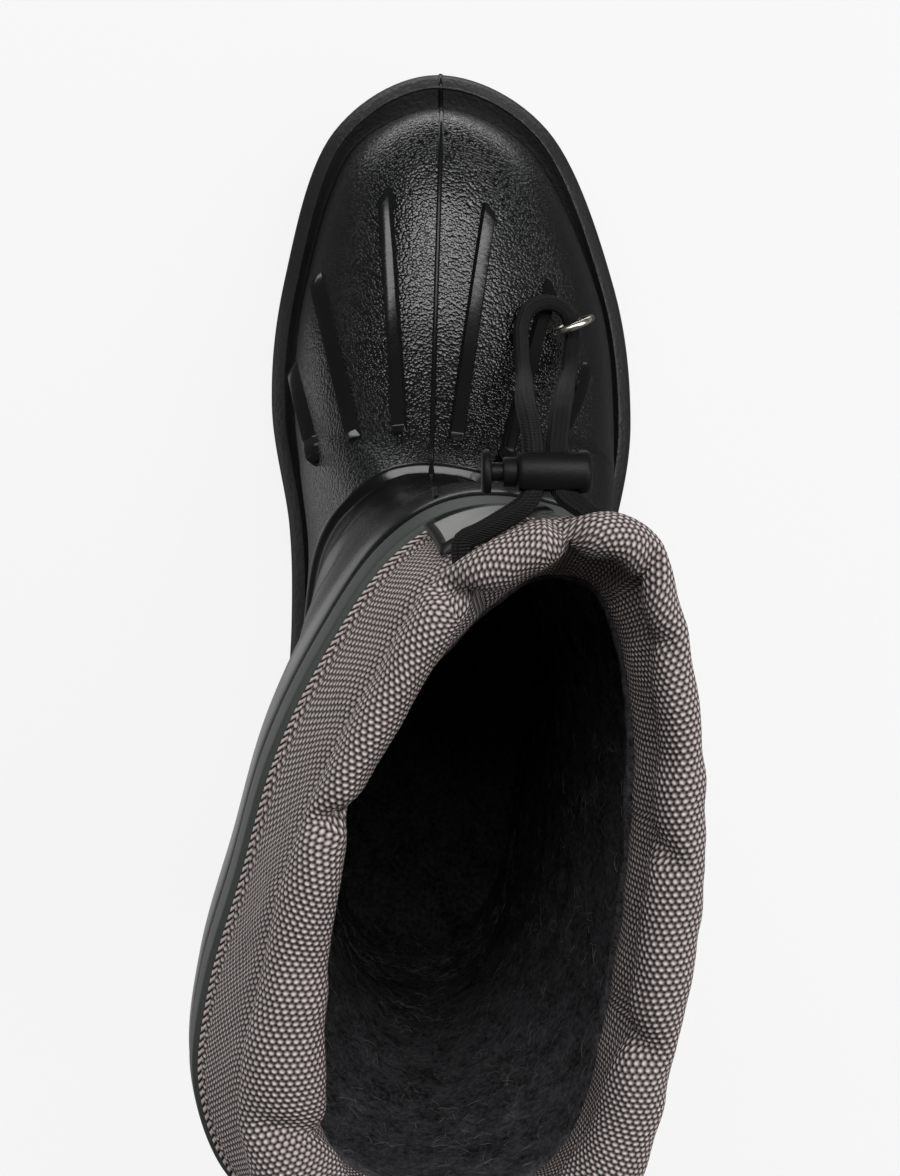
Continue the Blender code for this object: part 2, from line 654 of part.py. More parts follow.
def turned(name, profile, collection, material):
    """Turned piece along x on the lock's axis, from a profile of x and radius."""
    mesh = bpy.data.meshes.new(name)
    points = [(radius * MM, 0.0, (x - ORIGIN[0]) * MM) for x, radius in profile]
    mesh.from_pydata(points, [(k, k + 1) for k in range(len(points) - 1)], [])
    mesh.materials.append(material)
    obj = bpy.data.objects.new(name, mesh)
    collection.objects.link(obj)
    obj.location = Vector((0.0, *((np.array(LOCK_PLACE) - ORIGIN) * MM)[1:]))
    obj.rotation_euler = (0.0, math.radians(90.0), 0.0)
    turn = obj.modifiers.new("turn", "SCREW")
    turn.axis = "Z"
    turn.steps = turn.render_steps = 16
    turn.use_merge_vertices = True
    turn.merge_threshold = 0.00001
    turn.use_smooth_shade = True
    return obj


def cord_lock(collection, cutters, material):
    """Barrel with its cross slot, and the button that slides in its collar."""
    barrel = turned("cord_lock_barrel", BARREL, collection, material)
    bm = bmesh.new()
    bmesh.ops.create_cube(bm, size=1.0)
    size = (SLOT_X[1] - SLOT_X[0], SLOT_WIDTH, SLOT_TALL)
    middle = (sum(SLOT_X) / 2.0, *LOCK_PLACE[1:])
    bmesh.ops.scale(bm, verts=bm.verts[:], vec=size)
    tilt = Matrix.Rotation(math.radians(SLOT_TILT), 3, "X")
    bmesh.ops.rotate(bm, verts=bm.verts[:], matrix=tilt)
    bmesh.ops.translate(bm, verts=bm.verts[:], vec=middle)
    slot = make_object("lock_slot", bm, cutters, material)
    slot.hide_render = True
    slot.display_type = "WIRE"
    cut = barrel.modifiers.new("slot", "BOOLEAN")
    cut.operation = "DIFFERENCE"
    cut.solver = "EXACT"
    cut.object = slot
    turned("cord_lock_button", BUTTON, collection, material)


def cord_ring(collection, material):
    """Oval wire ring that hangs on the cord's loop."""
    line = []
    for k in range(RING_POINTS):
        turn = 2.0 * math.pi * k / RING_POINTS
        reach = np.array(RING_LONG) * RING_HALF[0] * math.cos(turn)
        line.append(np.array(RING_PLACE) + reach + np.array(RING_SHORT) * RING_HALF[1] * math.sin(turn))
    return tube("cord_ring", line, RING_WIRE, True, collection, material)


def build():
    """Make the boot's pieces in one collection and its cutters in another."""
    for old in list(bpy.data.objects):
        bpy.data.objects.remove(old)
    parts = bpy.data.collections.new("winter_boot")
    cutters = bpy.data.collections.new("cutters")
    for collection in (parts, cutters):
        bpy.context.scene.collection.children.link(collection)
    rubber = make_material("black_rubber", (0.012, 0.012, 0.013), 0.38)
    outsole(parts, make_material("sole_rubber", (0.016, 0.016, 0.017), 0.5))
    upper(parts, cutters, rubber)
    insole(parts, make_material("grey_felt", (0.03, 0.03, 0.032), 0.95))
    cuff(parts, make_material("woven_cloth", (0.16, 0.135, 0.125), 0.85))
    badge(parts, make_material("badge_rubber", (0.02, 0.02, 0.021), 0.5))
    line = even_points(open_curve(ROUTE, 12), CORD_STEP)
    tube("drawcord", line, CORD, False, parts, make_material("black_cord", (0.015, 0.015, 0.015), 0.8))
    cord_lock(parts, cutters, make_material("lock_plastic", (0.018, 0.018, 0.019), 0.5))
    cord_ring(parts, make_material("ring_steel", (0.6, 0.57, 0.52), 0.3, 1.0))


build()
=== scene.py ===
# %% [markdown]
# # A child's winter boot, dressed
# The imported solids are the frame: they have the boot's true shape, but only a few facets.
# This lesson gives every piece its real surface: grained rubber, a woven cuff with its folds,
# a felt lining with loose hairs, and the cord with its lock and ring.
# All lengths are in millimetres, counted from the heel: x to the outer side, y to the toe, z up.

# %% Frame
import math

import bmesh
import bpy
import numpy as np
from mathutils import Matrix, Vector, noise
from mathutils.bvhtree import BVHTree


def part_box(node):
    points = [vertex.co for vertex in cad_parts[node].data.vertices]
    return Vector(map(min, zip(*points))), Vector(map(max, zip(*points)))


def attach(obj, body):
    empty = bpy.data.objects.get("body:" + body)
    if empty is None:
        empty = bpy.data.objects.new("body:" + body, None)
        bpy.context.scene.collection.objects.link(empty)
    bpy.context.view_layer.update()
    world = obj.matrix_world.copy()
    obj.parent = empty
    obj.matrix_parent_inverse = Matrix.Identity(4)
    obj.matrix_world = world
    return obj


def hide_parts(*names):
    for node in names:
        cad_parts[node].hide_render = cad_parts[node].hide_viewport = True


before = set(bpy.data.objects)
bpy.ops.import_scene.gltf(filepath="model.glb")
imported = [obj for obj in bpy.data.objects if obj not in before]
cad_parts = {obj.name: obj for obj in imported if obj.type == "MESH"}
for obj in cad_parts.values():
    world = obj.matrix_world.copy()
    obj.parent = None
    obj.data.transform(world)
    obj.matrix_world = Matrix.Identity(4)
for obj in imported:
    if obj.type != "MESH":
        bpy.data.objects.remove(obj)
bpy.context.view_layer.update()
scene = bpy.context.scene
MM = 0.001
ORIGIN = np.array((0.6, 108.9, 0.0))


def to_frame(points):
    """Millimetres from the heel as metres in the frame."""
    return (np.asarray(points, float) - ORIGIN) * MM


def put_in_scene(name, data):
    """New object in the scene."""
    obj = bpy.data.objects.new(name, data)
    scene.collection.objects.link(obj)
    return obj


heel_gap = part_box("outsole")[0].y - to_frame((0.0, 0.0, 0.0))[1]
print("heel of the frame lies within", round(abs(heel_gap) / MM, 3), "mm of this script's heel")

# %% [markdown]
# ## Camera
# The boot is seen from above, from a point over the vamp. The pixel straight below the camera,
# the focal length in pixels and the height of the eye say the whole view, so the camera can be
# placed by calculation instead of by eye.

# %% Camera
PHOTO_SIZE = (900, 1176)
PIXEL_BELOW_EYE = (408, 300)
FOCAL_PIXELS = 2338.0
EYE = (-7.03, 168.06, 600.0)
SENSOR = 36.0

camera = put_in_scene("camera", bpy.data.cameras.new("camera"))
camera.data.lens = FOCAL_PIXELS * SENSOR / PHOTO_SIZE[1]
to_below = Vector((
    (PIXEL_BELOW_EYE[0] - PHOTO_SIZE[0] / 2.0) / FOCAL_PIXELS,
    (PHOTO_SIZE[1] / 2.0 - PIXEL_BELOW_EYE[1]) / FOCAL_PIXELS,
    -1.0,
))
camera.location = to_frame(EYE)
camera.rotation_mode = "QUATERNION"
camera.rotation_quaternion = to_below.rotation_difference(Vector((0.0, 0.0, -1.0)))
camera.data.clip_start = 0.01
scene.camera = camera
print("lens", round(camera.data.lens, 1), "mm at", [round(c, 3) for c in camera.location])

# %% [markdown]
# ## Curves and skins
# A boot is made over a last, so its surface is a set of outlines, one above the other. It could be
# sculpted, but tables keep it in step with the solids. Each outline is a smooth closed curve through
# a short table. A skin is one grid from create_grid whose vertices are laid on those outlines; the
# seam of the grid is then merged.

# %% Curves
COLUMNS = 240
HALF = COLUMNS // 2


def smooth(value, low, high):
    """Ease from 0 at low to 1 at high."""
    t = np.clip((np.asarray(value, float) - low) / (high - low), 0.0, 1.0)
    return t * t * (3.0 - 2.0 * t)


def span(a, b, c, d, f):
    """Smooth curve from b to c, with a before it and d after it."""
    bend = (2.0 * a - 5.0 * b + 4.0 * c - d) * f**2 + (3.0 * b - a - 3.0 * c + d) * f**3
    return b + 0.5 * ((c - a) * f + bend)


def closed_curve(points, count):
    """Smooth closed curve through the points, at even shares."""
    p = np.array(points, float)
    u = np.arange(count) * len(p) / count
    i = u.astype(int)
    return span(*(p[(i + k) % len(p)] for k in (-1, 0, 1, 2)), (u - i)[:, None])


def open_curve(points, per_span):
    """Smooth open curve through the points, or through whole outlines."""
    p = np.array(points, float)
    p = np.concatenate(([2.0 * p[0] - p[1]], p, [2.0 * p[-1] - p[-2]]))
    line = [span(*p[k : k + 4], f) for k in range(len(p) - 3) for f in np.arange(per_span) / per_span]
    return np.array([*line, p[-2]])


def from_curve(value, table):
    """Read a table of two columns at a value, smoothed between its rows."""
    line = open_curve(table, 8)
    return np.interp(value, line[:, 0], line[:, 1])


def plan_loop(table, medial, lateral):
    """Closed loop from the back over the medial side to the front and back over the lateral side."""
    there = [[row[k] for k in medial] for row in table]
    back = [[row[k] for k in lateral] for row in table[-2:0:-1]]
    return closed_curve(there + back, COLUMNS)


def outward(loop):
    """Unit normals of a loop in plan, away from its inside."""
    along = np.roll(loop, -1, axis=0) - np.roll(loop, 1, axis=0)
    normal = np.stack((-along[:, 1], along[:, 0]), axis=1)
    return normal / np.linalg.norm(normal, axis=1)[:, None]


def inset(loop, distance):
    """Move a loop inwards in plan."""
    return loop - outward(loop) * np.reshape(distance, (-1, 1))


def raised(loop, z):
    """Give a plan loop its heights."""
    return np.column_stack((loop, np.broadcast_to(z, len(loop))))


SHARE = np.array([j / HALF if j <= HALF else (COLUMNS - j) / HALF for j in range(COLUMNS)])
SIDE = np.array([-1 if j <= HALF else 1 for j in range(COLUMNS)])
print(COLUMNS, "points in each outline")

# %% Skins
# Points nearer to each other than this, in metres, are one point.
TOUCH = 0.000001


def weld(bm, near=TOUCH):
    """Merge the points of a bmesh that touch."""
    bmesh.ops.remove_doubles(bm, verts=bm.verts[:], dist=near)


def to_mesh(name, bm):
    """Turn a bmesh into a mesh and free it."""
    mesh = bpy.data.meshes.new(name)
    bm.to_mesh(mesh)
    bm.free()
    return mesh


def run_along(points, axis):
    """Distance walked along one axis of a grid of points, from zero."""
    steps = np.linalg.norm(np.diff(points, axis=axis), axis=2)
    start = np.zeros_like(np.take(steps, [0], axis=axis))
    return np.concatenate((start, np.cumsum(steps, axis=axis)), axis=axis)


def skin(rows, closed=True, round_run=None):
    """Bmesh grid laid on rows of points, with a UV map in millimetres walked along the surface."""
    rows = np.asarray(rows, float)
    if closed:
        rows = np.concatenate((rows, rows[:, :1]), axis=1)
    high, wide = rows.shape[:2]
    u = run_along(rows, 1) if round_run is None else np.broadcast_to(round_run, (high, wide))
    v = run_along(rows, 0)
    bm = bmesh.new()
    uv = bm.loops.layers.uv.new("walked")
    bmesh.ops.create_grid(bm, x_segments=wide - 1, y_segments=high - 1, size=1.0)
    bm.verts.ensure_lookup_table()
    bm.verts.index_update()
    places = to_frame(rows).reshape(-1, 3)
    for vert in bm.verts:
        vert.co = places[vert.index]
    walked = np.stack((u, v), axis=2).reshape(-1, 2)
    for face in bm.faces:
        for loop in face.loops:
            loop[uv].uv = walked[loop.vert.index]
    if closed:
        weld(bm)
    return bm


def surface_normals(rows):
    """Outward normals of a grid of closed rows."""
    along = np.roll(rows, -1, axis=1) - np.roll(rows, 1, axis=1)
    up = np.gradient(rows, axis=0)
    normal = np.cross(up, along)
    return normal / np.maximum(np.linalg.norm(normal, axis=2), 1e-9)[..., None]


def ripple(points, size, seed):
    """Soft noise between about -1 and 1 at each point, with swells of the given size."""
    flat = np.asarray(points, float).reshape(-1, 3) / size + seed
    values = [noise.noise(Vector(p)) for p in flat]
    return np.reshape(values, np.shape(points)[:-1])


def finish_piece(name, bm, materials, body="boot", outwards=True, sharp=40.0):
    """Make a bmesh a named piece that rides on a body, and count its triangles."""
    if outwards:
        bmesh.ops.recalc_face_normals(bm, faces=bm.faces[:])
    mesh = to_mesh(name, bm)
    mesh.shade_smooth()
    mesh.set_sharp_from_angle(angle=math.radians(sharp))
    for material in materials:
        mesh.materials.append(material)
    obj = put_in_scene(name, mesh)
    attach(obj, body)
    mesh.calc_loop_triangles()
    print(name, len(mesh.loop_triangles), "triangles")
    return obj


# %% [markdown]
# ## Finishes
# Each finish is one Principled shader. Pictures of a surface could be wrapped round the pieces, but
# small relief such as grain and weave is bump here, on Object coordinates in metres or on the walked
# UV map in millimetres, so it keeps its real size on every piece.

# %% Node helpers


def new_finish(name, colour, roughness, **sockets):
    """Material with one Principled shader and its plain values."""
    material = bpy.data.materials.new(name)
    material.use_nodes = True
    shader = material.node_tree.nodes["Principled BSDF"]
    shader.inputs["Base Color"].default_value = (*colour, 1.0)
    shader.inputs["Roughness"].default_value = roughness
    for socket, value in sockets.items():
        shader.inputs[socket.replace("_", " ")].default_value = value
    return material, material.node_tree, shader


def node(tree, kind, inputs=None, **settings):
    """New node with its settings, and its inputs linked or set."""
    made = tree.nodes.new(kind)
    for key, value in settings.items():
        setattr(made, key, value)
    for key, value in (inputs or {}).items():
        if isinstance(value, bpy.types.NodeSocket):
            tree.links.new(value, made.inputs[key])
        else:
            made.inputs[key].default_value = value
    return made


def math_node(tree, operation, *values):
    """Result of a math node."""
    return node(tree, "ShaderNodeMath", dict(enumerate(values)), operation=operation).outputs[0]


def plus(tree, first, second):
    """Sum of two values."""
    return math_node(tree, "ADD", first, second)


def times(tree, first, second):
    """Product of two values."""
    return math_node(tree, "MULTIPLY", first, second)


def wave(tree, place, pitch):
    """Cosine along a coordinate, with a pitch in the coordinate's own unit."""
    return math_node(tree, "COSINE", times(tree, place, 2.0 * math.pi / pitch))


def object_place(tree):
    """Object coordinates, in metres."""
    return node(tree, "ShaderNodeTexCoord").outputs["Object"]


def walked_place(tree):
    """The piece's own walked coordinates, in millimetres: round its rows, and from row to row."""
    uv = node(tree, "ShaderNodeUVMap", uv_map="walked")
    parts = node(tree, "ShaderNodeSeparateXYZ", {"Vector": uv.outputs["UV"]})
    return parts.outputs["X"], parts.outputs["Y"]


def clouds(tree, size, detail=2.0, rough=0.5):
    """Noise with clouds of a size in metres."""
    settings = {"Vector": object_place(tree), "Scale": 1.0 / size, "Detail": detail, "Roughness": rough}
    return node(tree, "ShaderNodeTexNoise", settings).outputs["Fac"]


def mapped(tree, value, from_low, from_high, to_low=0.0, to_high=1.0):
    """Map a value from one range to another, clamped."""
    places = {"Value": value, 1: from_low, 2: from_high, 3: to_low, 4: to_high}
    return node(tree, "ShaderNodeMapRange", places).outputs["Result"]


def paint(tree, shader, share, first, second):
    """Base colour between two tones."""
    inputs = {"Factor": share, 6: (*first, 1.0), 7: (*second, 1.0)}
    tone = node(tree, "ShaderNodeMix", inputs, data_type="RGBA").outputs[2]
    tree.links.new(tone, shader.inputs["Base Color"])


def dull(tree, shader, drift, low, high):
    """Roughness that drifts between a low and a high value."""
    tree.links.new(mapped(tree, drift, 0.3, 0.7, low, high), shader.inputs["Roughness"])


def bump(tree, shader, height, depth):
    """Relief of a depth in metres on the shader."""
    made = node(tree, "ShaderNodeBump", {"Height": height, "Distance": depth, "Strength": 1.0})
    tree.links.new(made.outputs["Normal"], shader.inputs["Normal"])


# %% Rubber finishes
BLACK = (0.004, 0.004, 0.0044)
PEBBLE = 0.00074
PEBBLE_TALL = 0.000042
# The pebbles are bent out of their even cells: bends to the metre, and how far each goes.
BENDS = 900.0
BEND = 0.0003


def grained_rubber():
    """Moulded rubber of the foot: fine pebbled grain, shiny all over."""
    material, tree, shader = new_finish("grained_rubber", BLACK, 0.2, Specular_IOR_Level=0.7)
    here = object_place(tree)
    bent = node(tree, "ShaderNodeTexNoise", {"Vector": here, "Scale": BENDS}).outputs["Color"]
    offset = node(tree, "ShaderNodeVectorMath", {0: bent, "Scale": BEND}, operation="SCALE").outputs[0]
    place = node(tree, "ShaderNodeVectorMath", {0: here, 1: offset}).outputs[0]
    cells = node(tree, "ShaderNodeTexVoronoi", {"Vector": place, "Scale": 1.0 / PEBBLE})
    far = cells.outputs["Distance"]
    domes = math_node(tree, "SUBTRACT", 1.0, times(tree, times(tree, far, far), 2.6))
    walls = mapped(tree, far, 0.4, 0.58, 1.4, 0.0)
    swells = times(tree, clouds(tree, 0.0016, 1.0), 0.6)
    bump(tree, shader, plus(tree, plus(tree, domes, walls), swells), PEBBLE_TALL)
    dull(tree, shader, clouds(tree, 0.03, 3.0), 0.17, 0.24)
    # Base colour: painted shade, darker in the hollows between the pebbles and lighter on their tops.
    paint(tree, shader, domes, (0.002, 0.002, 0.002), (0.005, 0.005, 0.0055))
    return material


def plain_rubber(name, colour, low, high, speck, shine=0.5):
    """Smooth moulded rubber with a faint haze, from a low to a high roughness."""
    material, tree, shader = new_finish(name, colour, low, Specular_IOR_Level=shine)
    haze = clouds(tree, 0.018, 4.0)
    dull(tree, shader, haze, low, high)
    bump(tree, shader, mapped(tree, clouds(tree, 0.0012, 2.0), 0.35, 0.65), speck)
    paint(tree, shader, haze, colour, tuple(c * 1.35 for c in colour))
    return material


GRAINED = grained_rubber()
SMOOTH = plain_rubber("smooth_rubber", BLACK, 0.2, 0.3, 0.000008, 0.25)
GLOSSY = plain_rubber("glossy_rubber", BLACK, 0.12, 0.2, 0.000006)
BAND = plain_rubber("matte_band_rubber", (0.036, 0.041, 0.038), 0.5, 0.62, 0.00002)
SOLE = plain_rubber("sole_rubber_finish", (0.012, 0.012, 0.012), 0.42, 0.55, 0.00009)
print("rubber finishes:", [m.name for m in (GRAINED, SMOOTH, GLOSSY, BAND, SOLE)])

# %% Cloth finishes
# Pitch of the weave and of the edging's twist, in millimetres.
WEAVE_ROUND = 2.1
WEAVE_UP = 1.29
TWIST = 1.5
DOT = (0.6, 0.52, 0.5)
# Painted shade: the near-black tone of the hollows in the weave and of the gaps in the edging's twist.
HOLLOW_SHADE = (0.016, 0.013, 0.0125)
# Turns of the braid's yarns, in radians to the millimetre along and across.
BRAID_ALONG = 5.2
BRAID_ACROSS = 3.0


def woven_cloth():
    """Basket weave: round light floats in staggered rows, with painted shade in the hollows between
    them.
    """
    material, tree, shader = new_finish("woven_cloth_finish", DOT, 0.8, Specular_IOR_Level=0.2)
    along, across = walked_place(tree)
    crossed = times(tree, wave(tree, along, WEAVE_ROUND), wave(tree, across, WEAVE_UP))
    floats = plus(tree, times(tree, crossed, 2.0), wave(tree, along, WEAVE_ROUND / 2.0))
    height = plus(tree, floats, times(tree, clouds(tree, 0.0003, 2.0), 0.8))
    bump(tree, shader, mapped(tree, height, -1.2, 2.8), 0.0005)
    # Base colour: painted shade in the weave's hollows, the light tone on the floats.
    paint(tree, shader, mapped(tree, height, -0.9, 1.7), HOLLOW_SHADE, DOT)
    return material


def twisted_edging():
    """Twisted yarn along the hem: light strands on a slant, with painted shade in the gaps between
    them.
    """
    material, tree, shader = new_finish("twisted_edging", DOT, 0.85, Specular_IOR_Level=0.2)
    across, along = walked_place(tree)
    strands = math_node(tree, "SINE", plus(tree, times(tree, along, 2.0 * math.pi / TWIST), across))
    bump(tree, shader, strands, 0.0002)
    # Base colour: painted shade in the gaps between the strands.
    paint(tree, shader, mapped(tree, strands, -0.7, 0.2), HOLLOW_SHADE, DOT)
    return material


def felt(name, colour):
    """Dense felt with a soft uneven pile, painted darker as shade in the pile's hollows and in larger
    random patches.
    """
    material, tree, shader = new_finish(name, colour, 0.95, Specular_IOR_Level=0.05)
    pile = clouds(tree, 0.0011, 6.0, 0.75)
    bump(tree, shader, pile, 0.0016)
    pile_shade_and_patches = plus(tree, pile, times(tree, clouds(tree, 0.006, 3.0, 0.6), 0.5))
    # Base colour: painted shade where the pile is low, and darker random patches from the larger
    # clouds.
    paint(tree, shader, mapped(tree, pile_shade_and_patches, 0.57, 0.97), tuple(c * 0.12 for c in colour), colour)
    return material


def braided_cord():
    """Black cord with the slanted yarns of a round braid."""
    colour = (0.008, 0.008, 0.0085)
    material, tree, shader = new_finish("braided_cord", colour, 0.75, Specular_IOR_Level=0.3)
    across, along = walked_place(tree)
    run, turn = times(tree, along, BRAID_ALONG), times(tree, across, BRAID_ACROSS)
    slants = [math_node(tree, "SINE", math_node(tree, way, run, turn)) for way in ("ADD", "SUBTRACT")]
    yarns = times(tree, *slants)
    bump(tree, shader, yarns, 0.00015)
    # Base colour: painted shade, darker between the yarns where the braid dips.
    paint(tree, shader, mapped(tree, yarns, -0.6, 0.8), (0.002, 0.002, 0.002), (0.009, 0.009, 0.0095))
    return material


CLOTH = woven_cloth()
EDGING = twisted_edging()
FELT = felt("charcoal_felt", (0.155, 0.155, 0.166))
CORD_FINISH = braided_cord()
print("cloth finishes:", [m.name for m in (CLOTH, EDGING, FELT, CORD_FINISH)])

# %% Hard finishes


def lock_plastic():
    """Matte black plastic with a fine moulded texture."""
    material, tree, shader = new_finish("lock_plastic_finish", BLACK, 0.5, Specular_IOR_Level=0.2)
    bump(tree, shader, clouds(tree, 0.0004, 2.0), 0.00004)
    dull(tree, shader, clouds(tree, 0.006, 3.0), 0.45, 0.58)
    return material


def ring_metal():
    """Nickelled wire, a little scratched."""
    material, tree, shader = new_finish("ring_metal", (0.72, 0.68, 0.6), 0.25, Metallic=1.0)
    dull(tree, shader, clouds(tree, 0.0015, 4.0), 0.18, 0.36)
    return material


def badge_field():
    """Light grey rubber inside the badge's frame."""
    material, tree, shader = new_finish("badge_field", (0.24, 0.24, 0.23), 0.55)
    bump(tree, shader, clouds(tree, 0.0006, 2.0), 0.00004)
    paint(tree, shader, clouds(tree, 0.004, 3.0), (0.2, 0.2, 0.19), (0.27, 0.27, 0.26))
    return material


PLASTIC = lock_plastic()
METAL = ring_metal()
FIELD = badge_field()
FRAME_RUBBER = plain_rubber("badge_frame_rubber", BLACK, 0.4, 0.5, 0.00002)
print("hard finishes:", [m.name for m in (PLASTIC, METAL, FIELD, FRAME_RUBBER)])

# %% [markdown]
# ## Drawcord
# The cord is elastic and 3.6 mm thick. It runs from its inner exit under the cuff's roll through the
# lock, hangs in front of the shaft, turns in a loop whose end rests on the vamp, and goes back to its
# outer exit. A curve with a round bevel could make it. A grid swept along the route of the solids is
# used instead, because its UV map walks along the cord and gives the braid its true size.

# %% Drawcord
CORD = 3.6
CORD_SIDES = 20
# A shallow groove runs down the cord: its depth, and its half width in radians.
CORD_GROOVE = 0.22
GROOVE_HALF = 0.28
CORD_STEP = 0.8
ROUTE = (
    (2.0, 128.3, 215.4), (4.9, 129.9, 215.4), (8.4, 131.9, 215.2), (11.4, 133.8, 214.8),
    (12.6, 134.9, 214.5), (13.5, 136.4, 214.2), (13.8, 138.2, 213.8), (13.8, 143.2, 212.9),
    (13.4, 147.0, 210.6), (12.9, 150.0, 205.6), (13.0, 151.6, 198.0), (13.9, 152.0, 180.0),
    (15.3, 152.0, 150.0), (17.0, 151.8, 115.0), (18.0, 151.8, 96.0), (18.3, 152.6, 84.0),
    (18.4, 154.8, 75.4), (18.5, 158.2, 69.8), (18.6, 161.6, 67.0), (20.3, 165.8, 64.6),
    (24.5, 167.6, 62.8), (28.7, 165.9, 61.8), (30.5, 161.9, 61.3), (30.6, 158.4, 61.9),
    (30.0, 155.2, 65.2), (29.3, 152.8, 72.0), (28.6, 151.8, 82.0), (27.0, 151.4, 98.0),
    (25.6, 151.5, 118.0), (23.2, 151.6, 150.0), (21.0, 151.8, 180.0), (19.6, 151.4, 198.0),
    (18.7, 149.9, 205.6), (18.0, 147.0, 210.6), (17.5, 143.2, 212.9), (17.4, 140.4, 213.4),
    (17.8, 138.0, 213.8), (18.8, 136.1, 214.2), (20.4, 134.8, 214.8), (21.6, 134.1, 215.3),
)
# The ends go on for a few millimetres inside the cloth.
CORD_START = (2.0, 124.6, 215.3)
CORD_END = (23.4, 132.6, 216.2)


def even_points(line, step):
    """Points along a line at even distances near the step, ends included."""
    run = np.r_[0.0, np.linalg.norm(np.diff(line, axis=0), axis=1).cumsum()]
    at = np.linspace(0.0, run[-1], round(run[-1] / step) + 1)
    return np.column_stack([np.interp(at, run, line[:, k]) for k in range(3)])


def sweep_rows(line, radii, first_side):
    """Rings of points round a line: radii is the reach at each turn, which starts at first_side."""
    along = np.gradient(line, axis=0)
    along /= np.linalg.norm(along, axis=1)[:, None]
    turns = 2.0 * np.pi * np.arange(len(radii)) / len(radii)
    side = np.array(first_side, float)
    rings = []
    for place, forward in zip(line, along):
        side = side - forward * (side @ forward)
        side /= np.linalg.norm(side)
        other = np.cross(forward, side)
        reach = np.outer(np.cos(turns) * radii, side) + np.outer(np.sin(turns) * radii, other)
        rings.append(place + reach)
    return np.array(rings)


def capped(bm):
    """Close the open ends of a tube."""
    bmesh.ops.holes_fill(bm, edges=[e for e in bm.edges if e.is_boundary])
    return bm


cord_line = even_points(open_curve((CORD_START, *ROUTE, CORD_END), 12), CORD_STEP)
cord_turns = 2.0 * np.pi * np.arange(CORD_SIDES) / CORD_SIDES
groove = np.exp(-((np.minimum(cord_turns, 2.0 * np.pi - cord_turns) / GROOVE_HALF) ** 2))
cord_radii = CORD / 2.0 - CORD_GROOVE * groove
cord_bm = capped(skin(sweep_rows(cord_line, cord_radii, (0.0, 1.0, 0.3))))
drawcord = finish_piece("drawcord_braid", cord_bm, [CORD_FINISH])
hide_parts("drawcord")

# %% [markdown]
# ## Cord lock and ring
# Both pieces of the lock are turned on one axis. Bevelled cylinders could be stacked, but a profile
# that bmesh spins holds every step and rounding in one table. The slot that the two strands cross is
# cut with a Boolean, because it goes through the round wall on a slant. The ring is a bent wire,
# swept as the cord is.

# %% Cord lock
# y and z of the axis, which runs along x.
LOCK_AXIS = (139.8, 213.5)
TURN_STEPS = 48
# Columns: x, radius.
BARREL = (
    (23.4, 0.0), (23.4, 2.6), (23.25, 3.1), (22.8, 3.5), (22.3, 3.65), (12.0, 3.65), (11.5, 3.5),
    (11.1, 3.2), (10.9, 2.5), (9.0, 2.5), (8.7, 2.35), (8.6, 1.9), (10.6, 1.9), (10.6, 0.0),
)
# The cap stops just short of the barrel's collar when it is pressed.
BUTTON = (
    (8.7, 0.0), (8.7, 1.6), (6.7, 1.6), (6.7, 3.3), (6.55, 3.65), (6.2, 3.8), (5.7, 3.8), (5.3, 3.6),
    (5.1, 3.1), (5.05, 0.0),
)
SLOT_X = (11.4, 21.2)
SLOT_WIDTH = 3.9
SLOT_TALL = 12.0
SLOT_TILT = 80.0


def spun(profile):
    """Spin a profile of x and radius round the lock's axis."""
    bm = bmesh.new()
    y, z = LOCK_AXIS
    verts = [bm.verts.new(to_frame((x, y, z + radius))) for x, radius in profile]
    edges = [bm.edges.new(pair) for pair in zip(verts, verts[1:])]
    bmesh.ops.spin(
        bm, geom=verts + edges, cent=to_frame((0.0, y, z)), axis=(1.0, 0.0, 0.0), angle=2.0 * math.pi,
        steps=TURN_STEPS, use_merge=True,
    )
    weld(bm)
    return bm


def cut_slot(barrel):
    """Cut the cord's slot through the barrel and keep the result as its mesh."""
    bm = bmesh.new()
    bmesh.ops.create_cube(bm, size=1.0)
    block = Vector((SLOT_X[1] - SLOT_X[0], SLOT_WIDTH, SLOT_TALL)) * MM
    bmesh.ops.scale(bm, verts=bm.verts[:], vec=block)
    bmesh.ops.rotate(bm, verts=bm.verts[:], matrix=Matrix.Rotation(math.radians(SLOT_TILT), 3, "X"))
    middle = to_frame((sum(SLOT_X) / 2.0, *LOCK_AXIS))
    bmesh.ops.translate(bm, verts=bm.verts[:], vec=middle)
    cutter = put_in_scene("slot_cutter", to_mesh("slot_cutter", bm))
    cut = barrel.modifiers.new("slot", "BOOLEAN")
    cut.operation = "DIFFERENCE"
    cut.solver = "EXACT"
    cut.object = cutter
    bpy.context.view_layer.update()
    done = barrel.evaluated_get(bpy.context.evaluated_depsgraph_get())
    barrel.data = bpy.data.meshes.new_from_object(done)
    barrel.modifiers.clear()
    bpy.data.objects.remove(cutter)


barrel = finish_piece("lock_barrel_turned", spun(BARREL), [PLASTIC], sharp=50.0)
cut_slot(barrel)
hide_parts("cord_lock_barrel")
button = finish_piece(
    "lock_button_turned", spun(BUTTON), [PLASTIC], body="button", sharp=50.0
)
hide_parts("cord_lock_button")

# %% Ring
RING_PLACE = (30.9, 162.4, 62.2)
RING_LONG = np.array((0.87, 0.37, -0.33))
RING_SHORT = np.array((0.33, 0.07, 0.94))
RING_HALF = (4.35, 3.6)
RING_WIRE = 1.7
RING_STEPS = 64
RING_SIDES = 16

